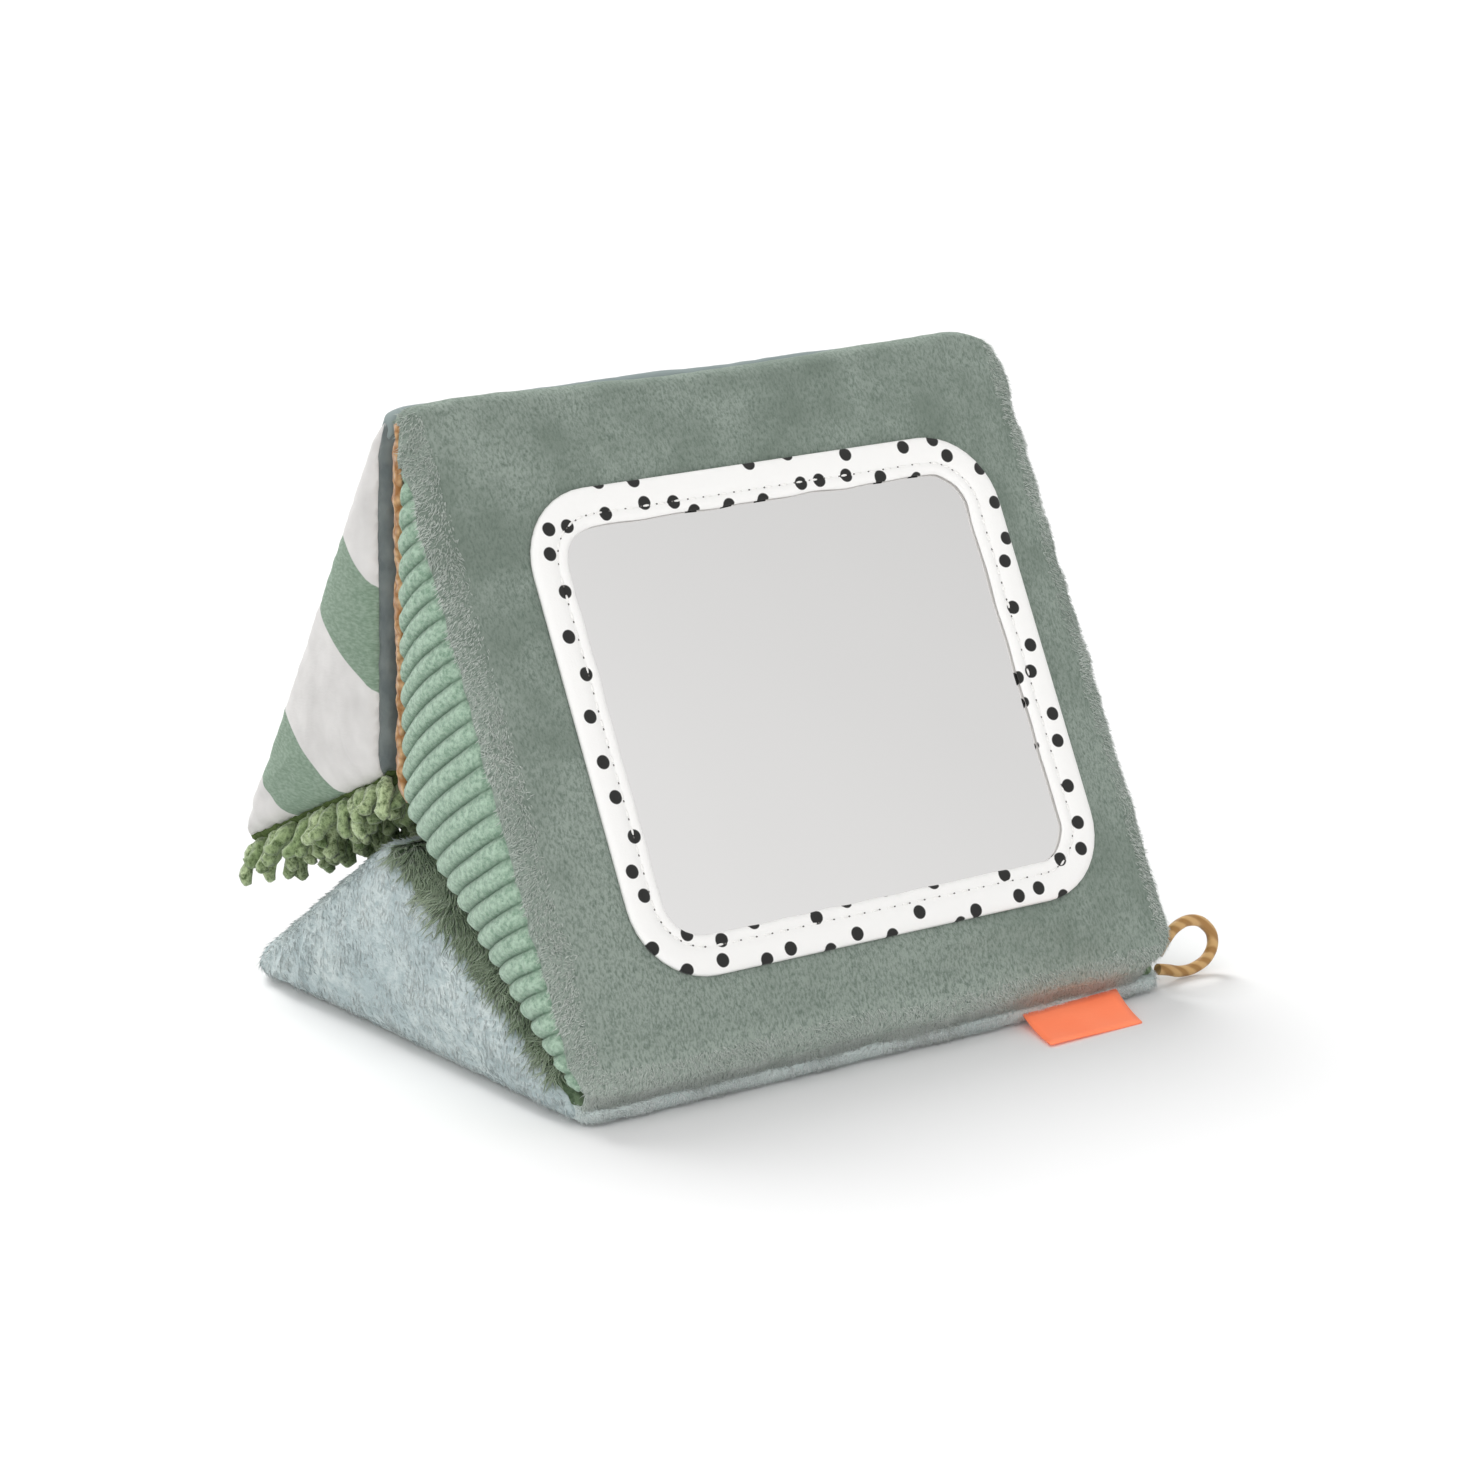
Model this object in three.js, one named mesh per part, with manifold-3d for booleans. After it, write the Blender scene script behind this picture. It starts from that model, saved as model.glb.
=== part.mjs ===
// Tummy time book: three stuffed wedge cushions sewn edge to edge, which fold up into a small tent.
// Millimetres, +X along the ridge, -Y towards the mirror, +Z up. The origin is on the floor,
// under the middle of the base cushion.

import * as THREE from 'three';
import { mergeVertices } from 'three/addons/utils/BufferGeometryUtils.js';
import Module from 'manifold-3d';

const wasm = await Module();
wasm.setup();

// Driving sizes of the closed book
const book_width = 198;
const tip_radius = 4.2;
const apex_radius = 7;
const closed_gap = 0.8;
const touch_gap = 0.3;
const seam_gap = 0.3;
const fabric = 2.6;
const overrun = 12;

// Base cushion: distance between the circles of its thin edges, depth to its inner ridge, which lies at a
// share of the span, how far its underside swells and how much of that the floor flattens
const base_span = 170;
const base_depth = 53;
const base_apex_share = 0.464;
const base_crown = 1;
const floor_flat = 0.5;
const base_back_crown = 2;

// Front cushion: stands on the front edge of the base, leans back and carries the mirror
const front_span = 178;
const front_depth = 52;
const front_apex_share = 0.518;
const front_spread_angle = 8;
const front_crown = 4;

// Back cushion: hangs from the ridge, with its lower edge held up by the noodles
const back_span = 157;
const back_depth = 50.4;
const back_apex_share = 0.525;
const back_spread_angle = 1.8;
const back_crown = 4;

// Rounding and swelling of the cushions' ends
const end_round = 8;
const end_draw = 3.2;
const end_bulge = 4;
const end_seam_inset = 2;
const draw_limit_share = 0.78;

// Mirror window on the front cushion
const frame_width = 155;
const frame_height = 136;
const frame_band = 11;
const frame_corner = 22;
const frame_thickness = 1.6;
const frame_rise = -2;
const frame_shift = 3;
const mirror_lap = 5;
const mirror_thickness = 1;
const backing_thickness = 2;
const seat_share = 0.8;

// Ribbed ends of the front cushion
const rib_pitch = 6;
const rib_height = 1.6;
const rib_inset = 1.8;
const rib_end_share = 0.4;
const rib_steps = 4;
const rib_rows_shares = [[0, 0], [0.06, 0.75], [0.25, 1], [0.7, 1], [0.92, 0.6], [1, 0]];

// Noodle fabric under the back cushion
const noodle_length = 16;
const noodle_radius = 2;
const noodle_rows = 13;
const noodle_columns = 24;
const noodle_tip_share = 0.8;
const noodle_lean = 1.7;
const noodle_margin = 7;
const noodle_end_margin = 10.45;

// Trim: hinge seams, cord loop, side tag and the crinkle film inside the back cushion
const hinge_cord_radius = 1.5;
const hinge_cord_end = 6;
const loop_thickness = 3.3;
const loop_reach = 24;
const loop_height = 17;
const loop_setback = 1;
const loop_rise = 1.8;
const loop_sides = 8;
const loop_steps = 36;
const tag_width = 33;
const tag_length = 19;
const tag_thickness = 0.8;
const tag_end_distance = 38;
const film_length = 130;
const film_width = 50;
const film_thickness = 0.6;

// Plain plane vectors, in the upright plane across the book: (y, z) or (along, out)
const radians = (degrees) => degrees * Math.PI / 180;
const vec = (a, b) => new THREE.Vector2(a, b);
const polar = (length, angle) => vec(length * Math.cos(radians(angle)), length * Math.sin(radians(angle)));
const plus = (p, q) => p.clone().add(q);
const minus = (p, q) => p.clone().sub(q);
const along = (p, q, scale) => p.clone().addScaledVector(q, scale);
const right_of = (d) => vec(d.y, -d.x);

// A cushion's section in its own frame: its first thin edge at the origin, +Y along its outer face,
// +Z out of that face, and its inner ridge below
function cushionForm(span, depth, apex_share) {
  return { span, apex: vec(apex_share * span, apex_radius - depth), at: vec(0, 0), angle: 0 };
}

// The three sides of a cushion's section, each a straight line that touches two of its corner circles.
// Side 0 is the outer face, side 1 runs from the first edge to the inner ridge, side 2 from there on.
function sectionSides(frame, inset) {
  const tip = tip_radius - inset;
  const apex = apex_radius - inset;
  const corners = [
    { at: vec(frame.span, 0), radius: tip },
    { at: vec(0, 0), radius: tip },
    { at: frame.apex, radius: apex },
  ];
  return corners.map((from, i) => {
    const to = corners[(i + 1) % corners.length];
    const d = minus(to.at, from.at);
    const tilt = Math.asin((from.radius - to.radius) / d.length());
    const normal = right_of(d.clone().normalize()).rotateAround(vec(0, 0), tilt);
    return {
      from,
      to,
      normal,
      start: along(from.at, normal, from.radius),
      end: along(to.at, normal, to.radius),
    };
  });
}

// Points and ways of a cushion's own frame, as they stand in the book
const inPlace = (frame, p) => plus(p.clone().rotateAround(vec(0, 0), frame.angle), frame.at);
const turned = (frame, way) => way.clone().rotateAround(vec(0, 0), frame.angle);
const slope = (d) => Math.atan2(d.y, d.x);
const sideWay = (side) => minus(side.end, side.start);

// The base cushion lies on its outer face, with its second edge to the front
const base_frame = cushionForm(base_span, base_depth, base_apex_share);
base_frame.angle = Math.PI;
base_frame.at = vec(base_span / 2, base_crown - floor_flat + tip_radius);

// A cushion stands on the last side of the one before it: their thin edges lie side by side, and the
// faces that close on each other open out from there by the spread angle
function standOn(frame, carrier, spread) {
  const carrier_side = sectionSides(carrier, 0)[2];
  const normal = turned(carrier, carrier_side.normal);
  const edge = inPlace(carrier, carrier_side.to.at);
  const way = turned(carrier, sideWay(carrier_side)).negate();
  const own_side = sectionSides(frame, 0)[1];
  frame.angle = slope(way) + radians(spread) - slope(sideWay(own_side));
  frame.at = along(edge, normal, 2 * tip_radius + closed_gap);
  return frame;
}

const front_form = cushionForm(front_span, front_depth, front_apex_share);
const front_frame = standOn(front_form, base_frame, front_spread_angle);
const back_form = cushionForm(back_span, back_depth, back_apex_share);
const back_frame = standOn(back_form, front_frame, back_spread_angle);

// Two faces that close on each other swell just so far that the gap between them never narrows:
// an arch leaves its chord four times as steeply as its height over its length, and here two arches meet
const shared_crown = (frame, spread) => (
  sideWay(sectionSides(frame, 0)[1]).length() * Math.sin(radians(spread)) / (2 * 4)
);
const base_side_crown = shared_crown(front_frame, front_spread_angle);
const ridge_side_crown = shared_crown(back_frame, back_spread_angle);

// How each side of a cushion swells: evenly up from its seams, or like an arch
const flat_crown = (height) => ({ height, power: 8 });
const soft_crown = (height) => ({ height, power: 2 });
const base_crowns = [flat_crown(base_crown), soft_crown(base_back_crown), soft_crown(base_side_crown)];

// The outline of a section as points, each with the way out and how much of its side's crown it takes
function outline(frame, inset, crowns, side_shares, arc_steps) {
  const sides = sectionSides(frame, inset);
  const points = [];
  sides.forEach((side, i) => {
    for (const share of side_shares) {
      points.push({
        at: side.start.clone().lerp(side.end, share),
        normal: side.normal,
        crown: crowns[i].height * (1 - Math.abs(2 * share - 1) ** crowns[i].power),
        radius: Math.min(side.from.radius, side.to.radius),
      });
    }
    const next = sides[(i + 1) % sides.length];
    const turn = side.normal.angleTo(next.normal);
    const steps = arc_steps[i];
    for (let k = 1; k < steps; k += 1) {
      const normal = side.normal.clone().rotateAround(vec(0, 0), turn * k / steps);
      const radius = side.to.radius;
      points.push({ at: along(side.to.at, normal, radius), normal, crown: 0, radius });
    }
  });
  return points;
}

// The middle of a section, from which its closed ends swell
function sectionMiddle(frame) {
  return vec(frame.span, 0).add(frame.apex).divideScalar(3);
}

// A closed cushion form: outlines along the book, drawn in towards both ends, and domed end faces
function pillow(frame, crowns, inset, detail) {
  const points = outline(frame, inset, crowns, detail.sides, detail.arcs);
  const middle = sectionMiddle(frame);
  const half = book_width / 2 - inset;
  const rings = [];
  const addRing = (x, draw, lengthwise, shrink) => {
    rings.push(points.map((p) => {
      const limit = Math.min(draw, draw_limit_share * p.radius);
      const at = along(p.at, p.normal, p.crown * lengthwise - limit);
      const drawn = middle.clone().lerp(at, shrink);
      return new THREE.Vector3(x, drawn.x, drawn.y);
    }));
  };
  const halfRings = [];
  for (const share of detail.middle) {
    const x = share * (half - end_round);
    halfRings.push([x, 0, 1 - (x / half) ** crowns[0].power, 1]);
  }
  for (const angle of detail.rounding) {
    const x = half - end_round * (1 - Math.sin(radians(angle)));
    halfRings.push([x, end_draw * (1 - Math.cos(radians(angle))), 1 - (x / half) ** crowns[0].power, 1]);
  }
  for (const share of detail.dome) {
    halfRings.push([half + end_bulge * (1 - share * share), end_draw, 0, share]);
  }
  for (const ring of [...halfRings].reverse()) {
    addRing(-ring[0], ring[1], ring[2], ring[3]);
  }
  for (const ring of halfRings.slice(1)) {
    addRing(...ring);
  }
  return ringSolid(rings, middle, half + end_bulge);
}

// A solid from rings of points along X, closed by a point at each end
function ringSolid(rings, middle, reach) {
  const count = rings[0].length;
  const position = [];
  const index = [];
  rings.flat().forEach((p) => position.push(p.x, p.y, p.z));
  for (let i = 0; i + 1 < rings.length; i += 1) {
    for (let j = 0; j < count; j += 1) {
      const a = i * count + j;
      const b = i * count + (j + 1) % count;
      index.push(a, b, b + count, a, b + count, a + count);
    }
  }
  const low = rings.length * count;
  const high = low + 1;
  const last = low - count;
  position.push(-reach, middle.x, middle.y, reach, middle.x, middle.y);
  for (let j = 0; j < count; j += 1) {
    const next = (j + 1) % count;
    index.push(next, j, low);
    index.push(last + j, last + next, high);
  }
  const geometry = new THREE.BufferGeometry();
  geometry.setAttribute('position', new THREE.Float32BufferAttribute(position, 3));
  geometry.setIndex(index);
  return solid(geometry);
}

// A geometry as a solid that can be joined and cut, and back
function solid(geometry) {
  const plain = geometry.clone();
  plain.deleteAttribute('normal');
  plain.deleteAttribute('uv');
  const merged = mergeVertices(plain);
  return new wasm.Manifold(new wasm.Mesh({
    numProp: 3,
    vertProperties: new Float32Array(merged.attributes.position.array),
    triVerts: new Uint32Array(merged.index.array),
  }));
}

function geometryOf(body) {
  const mesh = body.getMesh();
  const geometry = new THREE.BufferGeometry();
  geometry.setAttribute('position', new THREE.Float32BufferAttribute(mesh.vertProperties, 3));
  geometry.setIndex(Array.from(mesh.triVerts));
  return geometry;
}

// A straight prism along X over an outline given in a cushion's own (along, out) plane
function prism(points, x_low, x_high) {
  const shape = new THREE.Shape(points);
  const geometry = new THREE.ExtrudeGeometry(shape, { depth: x_high - x_low, bevelEnabled: false });
  const turn = new THREE.Matrix4().makeBasis(
    new THREE.Vector3(0, 1, 0),
    new THREE.Vector3(0, 0, 1),
    new THREE.Vector3(1, 0, 0),
  );
  geometry.applyMatrix4(turn);
  geometry.translate(x_low, 0, 0);
  return solid(geometry);
}

// A box given by its lowest and highest corners
function block(low, high) {
  const size = high.clone().sub(low);
  const geometry = new THREE.BoxGeometry(size.x, size.y, size.z);
  const middle = low.clone().add(high).multiplyScalar(0.5);
  geometry.translate(middle.x, middle.y, middle.z);
  return solid(geometry);
}

// A flat piece with rounded corners, lying in the (x, along) plane between two heights
function roundedPlate(width, height, corner, middle, low, high, hole_band, hole_corner) {
  const outlineShape = (w, h, r, Type) => {
    const shape = new Type();
    shape.absarc(w / 2 - r, h / 2 - r, r, 0, Math.PI / 2);
    shape.absarc(r - w / 2, h / 2 - r, r, Math.PI / 2, Math.PI);
    shape.absarc(r - w / 2, r - h / 2, r, Math.PI, 3 * Math.PI / 2);
    shape.absarc(w / 2 - r, r - h / 2, r, 3 * Math.PI / 2, 2 * Math.PI);
    return shape;
  };
  const shape = outlineShape(width, height, corner, THREE.Shape);
  if (hole_band) {
    shape.holes.push(outlineShape(width - 2 * hole_band, height - 2 * hole_band, hole_corner, THREE.Path));
  }
  const geometry = new THREE.ExtrudeGeometry(shape, {
    depth: high - low,
    bevelEnabled: false,
    curveSegments: 5,
  });
  geometry.translate(middle.x, middle.y, low);
  return solid(geometry);
}

// How finely the skin and what lies inside it are drawn
const skin_detail = {
  sides: [0, 0.1, 0.3, 0.7, 0.9, 1],
  arcs: [4, 2, 4],
  middle: [0, 0.55, 0.86],
  rounding: [0, 50, 90],
  dome: [0.84, 0.5],
};
const inner_detail = {
  sides: [0, 0.12, 0.5, 0.88, 1],
  arcs: [2, 1, 2],
  middle: [0, 0.86],
  rounding: [0, 90],
  dome: [0.7],
};

// Skin of one cushion: the shell between the outer form and the form of its filling,
// parted into three face panels and two end panels along the seams
function skinPanels(frame, crowns) {
  const shell = pillow(frame, crowns, 0, skin_detail).subtract(pillow(frame, crowns, fabric, inner_detail));
  const middle = sectionMiddle(frame);
  const rim = book_width / 2 - end_seam_inset;
  const sides = sectionSides(frame, 0);
  const reach = 2 * frame.span;
  const faces = sides.map((side) => {
    const start = minus(side.from.at, middle).normalize();
    const end = minus(side.to.at, middle).normalize();
    const half_angle = start.angleTo(end) / 2;
    const centre_line = plus(start, end).normalize();
    const corner = along(middle, centre_line, seam_gap / 2 / Math.sin(half_angle));
    const sector = [corner, along(corner, start, reach), along(corner, end, reach)];
    return shell.intersect(prism(sector, seam_gap / 2 - rim, rim - seam_gap / 2));
  });
  const far = new THREE.Vector3(book_width, reach, reach);
  const cut = rim + seam_gap / 2;
  const right = shell.intersect(block(new THREE.Vector3(cut, -reach, -reach), far));
  const left = shell.intersect(block(far.clone().negate(), new THREE.Vector3(-cut, reach, reach)));
  return { faces, left, right };
}

// The filling of a cushion, a little smaller than the space in its skin
function filling(frame, crowns) {
  return pillow(frame, crowns, fabric + touch_gap, inner_detail);
}

// One piece of the book as a named mesh
function piece(name, body, color, roughness, metalness = 0) {
  const material = new THREE.MeshStandardMaterial({ color, roughness, metalness });
  const mesh = new THREE.Mesh(geometryOf(body), material);
  mesh.name = name;
  return mesh;
}

// A group that stands in a cushion's own frame
function cushionGroup(frame) {
  const group = new THREE.Group();
  group.position.set(0, frame.at.x, frame.at.y);
  group.rotation.x = frame.angle;
  return group;
}

const sage_plush = '#7e8f84';
const mint_rib = '#9ec2a8';
const orange_boucle = '#e1aa6e';
const dotted_cotton = '#f2f1ee';
const mirror_silver = '#d8d9d9';
const board_grey = '#b9b9b4';
const fill_white = '#f1efe9';
const slate_cotton = '#8b9da0';
const satin_grey = '#788285';
const noodle_green = '#566f3b';
const stripe_white = '#dedcda';
const film_clear = '#cfd6d8';
const teal_cotton = '#afc3be';
const fur_green = '#5a6e50';
const blue_plush = '#aabec3';
const tag_orange = '#ff7048';
const cord_tan = '#d8a964';

// Front cushion: mirror face, boucle and ribbed inner faces, ribbed ends
function frontCushion() {
  const frame = front_frame;
  const crowns = [flat_crown(front_crown), soft_crown(base_side_crown), soft_crown(ridge_side_crown)];
  const panels = skinPanels(frame, crowns);
  const group = cushionGroup(frame);

  const seat = tip_radius + seat_share * front_crown;
  const middle = vec(frame_shift, frame.span / 2 + frame_rise);
  const glass_band = frame_band - mirror_lap;
  const glass_width = frame_width - 2 * glass_band;
  const glass_height = frame_height - 2 * glass_band;
  const glass_corner = frame_corner - glass_band;
  const opening_corner = frame_corner - frame_band;
  const plate = (grow, low, high) => roundedPlate(
    glass_width + 2 * grow, glass_height + 2 * grow, glass_corner + grow, middle, low, high,
  );
  const flatten = roundedPlate(
    frame_width + 2 * touch_gap, frame_height + 2 * touch_gap, frame_corner + touch_gap,
    middle, seat, seat + overrun,
  );
  const window_cut = plate(touch_gap, seat - overrun, seat + overrun);
  const backing_top = seat - mirror_thickness - touch_gap;
  const backing_bottom = backing_top - backing_thickness;
  const pocket = plate(touch_gap, backing_bottom - touch_gap, seat + overrun);

  const trim = roundedPlate(
    frame_width, frame_height, frame_corner, middle,
    seat + touch_gap, seat + touch_gap + frame_thickness, frame_band, opening_corner,
  );
  const face = panels.faces[0].subtract(flatten).subtract(window_cut);
  group.add(piece('front_face_panel', face, sage_plush, 0.95));
  group.add(piece('front_lower_inner_panel', panels.faces[1], mint_rib, 0.95));
  group.add(piece('front_upper_inner_panel', panels.faces[2], orange_boucle, 0.95));
  group.add(piece('front_end_left', ribbedEnd(frame, crowns, -1), mint_rib, 0.95));
  group.add(piece('front_end_right', ribbedEnd(frame, crowns, 1), mint_rib, 0.95));
  group.add(piece('front_filling', filling(frame, crowns).subtract(pocket), fill_white, 1));
  group.add(piece('mirror_frame', trim, dotted_cotton, 0.85));
  group.add(piece('mirror_sheet', plate(0, seat - mirror_thickness, seat), mirror_silver, 0.05, 1));
  group.add(piece('mirror_backing', plate(0, backing_bottom, backing_top), board_grey, 0.9));
  return group;
}

// How far a section reaches, across its outer face, at one place along that face
function sectionReach(frame, inset, at) {
  const tip = tip_radius - inset;
  const apex = apex_radius - inset;
  if (at < 0 || at > frame.span) {
    const past = at < 0 ? at : at - frame.span;
    const half = Math.sqrt(tip * tip - past * past);
    return { low: -half, high: half };
  }
  const lows = sectionSides(frame, inset).slice(1).map((side) => (
    side.start.y - (at - side.start.x) * side.normal.x / side.normal.y
  ));
  const from_apex = at - frame.apex.x;
  if (Math.abs(from_apex) < apex / 2) {
    lows.push(frame.apex.y - Math.sqrt(apex * apex - from_apex * from_apex));
  }
  return { low: Math.max(...lows), high: tip };
}

// A ribbed end panel: ribs run straight in from the outer face, round off at both ends,
// and follow the swell of the cushion's end
function ribbedEnd(frame, crowns, hand) {
  const ribs = Math.round((frame.span + 2 * tip_radius) / rib_pitch);
  const columns = rib_steps * ribs;
  const first = -rib_end_share * tip_radius;
  const length = frame.span - 2 * first;
  const base = book_width / 2 - end_seam_inset + seam_gap / 2;
  const position = [];
  const index = [];
  for (let k = 0; k <= columns; k += 1) {
    const share = k / columns;
    const at = first + share * length;
    const reach = sectionReach(frame, rib_inset, at);
    const bump = rib_height * Math.abs(Math.sin(Math.PI * ribs * share));
    const swell = 4 * end_bulge * share * (1 - share);
    for (const [across_share, edge_share] of rib_rows_shares) {
      const out = reach.low + across_share * (reach.high - reach.low);
      const dome = 4 * swell * across_share * (1 - across_share);
      position.push(base + edge_share * (end_seam_inset + bump) + dome, at, out);
    }
  }
  const rows = rib_rows_shares.length;
  const top = position.length / 3;
  for (let i = 0; i < top; i += 1) {
    position.push(base, position[3 * i + 1], position[3 * i + 2]);
  }
  const quad = (a, b, c, d) => index.push(a, b, c, a, c, d);
  for (let k = 0; k < columns; k += 1) {
    for (let j = 0; j + 1 < rows; j += 1) {
      const a = k * rows + j;
      quad(a, a + rows, a + rows + 1, a + 1);
      quad(top + a, top + a + 1, top + a + rows + 1, top + a + rows);
    }
  }
  const last = columns * rows;
  for (let j = 0; j + 1 < rows; j += 1) {
    quad(j, j + 1, top + j + 1, top + j);
    quad(last + j + 1, last + j, top + last + j, top + last + j + 1);
  }
  const geometry = new THREE.BufferGeometry();
  geometry.setAttribute('position', new THREE.Float32BufferAttribute(position, 3));
  geometry.setIndex(index);
  if (hand < 0) {
    geometry.scale(-1, 1, 1);
    geometry.setIndex(index.reverse());
  }
  return solid(geometry).subtract(pillow(frame, crowns, fabric, inner_detail));
}

// Back cushion: plain outer face, satin inner face with a crinkle film behind it, striped ends
// and a lower inner face of noodle fabric
function backCushion() {
  const frame = back_frame;
  const crowns = [soft_crown(back_crown), soft_crown(ridge_side_crown), soft_crown(0)];
  const panels = skinPanels(frame, crowns);
  const group = cushionGroup(frame);
  const film = crinkleFilm(frame);
  group.add(piece('back_face_panel', panels.faces[0], slate_cotton, 0.8));
  group.add(piece('back_front_inner_panel', panels.faces[1], satin_grey, 0.5));
  group.add(piece('noodle_panel', panels.faces[2].add(noodles(frame)), noodle_green, 0.95));
  group.add(piece('back_end_left', panels.left, stripe_white, 0.85));
  group.add(piece('back_end_right', panels.right, stripe_white, 0.85));
  group.add(piece('back_filling', filling(frame, crowns).subtract(film.pocket), fill_white, 1));
  group.add(piece('crinkle_film', film.sheet, film_clear, 0.3));
  return group;
}

// A thin film that lies on the filling, behind the satin face, in a pocket of its own size
function crinkleFilm(frame) {
  const side = sectionSides(frame, fabric + touch_gap)[1];
  const way = minus(side.end, side.start).normalize();
  const centre = side.start.clone().lerp(side.end, 0.5);
  const strip = (width, top, bottom) => [
    along(along(centre, way, -width / 2), side.normal, bottom),
    along(along(centre, way, width / 2), side.normal, bottom),
    along(along(centre, way, width / 2), side.normal, top),
    along(along(centre, way, -width / 2), side.normal, top),
  ];
  const half = film_length / 2;
  const sheet = prism(strip(film_width, 0, -film_thickness), -half, half);
  const pocket_floor = -film_thickness - touch_gap;
  const pocket_half = half + touch_gap;
  const pocket_width = film_width + 2 * touch_gap;
  const pocket = prism(strip(pocket_width, overrun, pocket_floor), -pocket_half, pocket_half);
  return { sheet, pocket };
}

// Noodles: three-sided strands rooted in the panel, each as long as the space under it allows
function noodles(frame) {
  const side = sectionSides(frame, 0)[2];
  const below = sectionSides(base_frame, 0)[1];
  const floor_point = inPlace(base_frame, below.start);
  const floor_normal = turned(base_frame, below.normal);
  const down = turned(frame, side.normal);
  const width = minus(side.end, side.start).length();
  const row_pitch = (width - 2 * noodle_margin) / (noodle_rows - 1);
  const column_pitch = (book_width - 2 * noodle_end_margin) / (noodle_columns - 1);
  const position = [];
  const index = [];
  for (let i = 0; i < noodle_columns; i += 1) {
    for (let j = 0; j < noodle_rows; j += 1) {
      const share = (noodle_margin + j * row_pitch) / width;
      const on_side = side.start.clone().lerp(side.end, share);
      const world = inPlace(frame, on_side);
      const room = minus(floor_point, world).dot(floor_normal) / down.dot(floor_normal);
      const length = Math.min(noodle_length, room - base_back_crown - closed_gap);
      const x = (i - (noodle_columns - 1) / 2) * column_pitch;
      const lean_x = noodle_lean * Math.sin(2.4 * i + 1.7 * j);
      const lean_y = noodle_lean * Math.cos(1.9 * i - 2.3 * j);
      const way = minus(side.end, side.start).normalize();
      const root = along(on_side, side.normal, -fabric / 2);
      const tip = along(along(on_side, side.normal, length), way, lean_y);
      const first = position.length / 3;
      const tip_size = noodle_tip_share * noodle_radius;
      for (const [centre, at_x, radius] of [[root, x, noodle_radius], [tip, x + lean_x, tip_size]]) {
        for (let k = 0; k < 3; k += 1) {
          const angle = 2 * Math.PI * k / 3 + i + j;
          const point = along(centre, way, radius * Math.sin(angle));
          position.push(at_x + radius * Math.cos(angle), point.x, point.y);
        }
      }
      const ring = [[0, 1, 4, 3], [1, 2, 5, 4], [2, 0, 3, 5]];
      ring.forEach(([a, b, c, d]) => {
        index.push(first + a, first + c, first + b, first + a, first + d, first + c);
      });
      index.push(first, first + 1, first + 2, first + 3, first + 5, first + 4);
    }
  }
  const geometry = new THREE.BufferGeometry();
  geometry.setAttribute('position', new THREE.Float32BufferAttribute(position, 3));
  geometry.setIndex(index);
  return solid(geometry);
}

// Base cushion: smooth underside that is flat on the floor, furry front and plush back inner faces,
// plush ends
function baseCushion() {
  const frame = base_frame;
  const crowns = base_crowns;
  const panels = skinPanels(frame, crowns);
  const group = cushionGroup(frame);
  const floor = frame.at.y;
  const reach = 2 * frame.span;
  const ground = block(
    new THREE.Vector3(-reach, -reach, floor),
    new THREE.Vector3(reach, reach, floor + overrun),
  );
  group.add(piece('base_underside_panel', panels.faces[0].subtract(ground), teal_cotton, 0.8));
  group.add(piece('base_back_inner_panel', panels.faces[1], blue_plush, 0.95));
  group.add(piece('base_front_inner_panel', panels.faces[2], fur_green, 0.95));
  group.add(piece('base_end_left', panels.left.subtract(ground), blue_plush, 0.95));
  group.add(piece('base_end_right', panels.right.subtract(ground), blue_plush, 0.95));
  group.add(piece('base_filling', filling(frame, crowns), fill_white, 1));
  return group;
}

// The groove between two thin edges that lie side by side, where the seam cord of a hinge runs
function grooveCentre(first, second) {
  const reach = tip_radius + touch_gap + hinge_cord_radius;
  const between = minus(second, first);
  const half = between.length() / 2;
  const out = right_of(between.clone().normalize()).negate();
  return along(along(first, between, 0.5), out, Math.sqrt(reach * reach - half * half));
}

const base_tip = inPlace(base_frame, vec(base_span, 0));
const base_hinge = grooveCentre(base_tip, front_frame.at);
const ridge_hinge = grooveCentre(inPlace(front_frame, vec(front_span, 0)), back_frame.at);

// A seam cord along a hinge line
function hingeSeam(name, at, color) {
  const length = book_width - 2 * hinge_cord_end;
  const geometry = new THREE.CylinderGeometry(hinge_cord_radius, hinge_cord_radius, length, 8);
  geometry.rotateZ(Math.PI / 2);
  const mesh = piece(name, solid(geometry), color, 0.9);
  mesh.position.set(0, at.x, at.y);
  return mesh;
}

// The side tag: a folded ribbon sewn into the front hinge seam, sloping down to the floor
function sideTag() {
  const ribbon = new THREE.BoxGeometry(tag_width, tag_length, tag_thickness);
  const start = hinge_cord_radius + touch_gap;
  ribbon.translate(0, start + tag_length / 2, 0);
  const mesh = piece('side_tag', solid(ribbon), tag_orange, 0.8);
  mesh.position.set(book_width / 2 - tag_end_distance, base_hinge.x, base_hinge.y);
  const drop = base_hinge.y - tag_thickness;
  mesh.rotation.x = Math.PI + Math.asin(drop / (start + tag_length));
  return mesh;
}

// The route of the cord loop, as shares of its reach out of the end and of its height
const loop_route_shares = [
  [-0.3, -0.12], [-0.1, -0.12], [0.05, -0.12], [0.2, -0.17], [0.4, -0.25], [0.65, -0.23], [0.84, -0.08],
  [0.9, 0.18], [0.8, 0.44], [0.58, 0.6], [0.34, 0.55], [0.17, 0.36], [0.05, 0.15], [-0.1, 0.12], [-0.3, 0.12],
];

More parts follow.
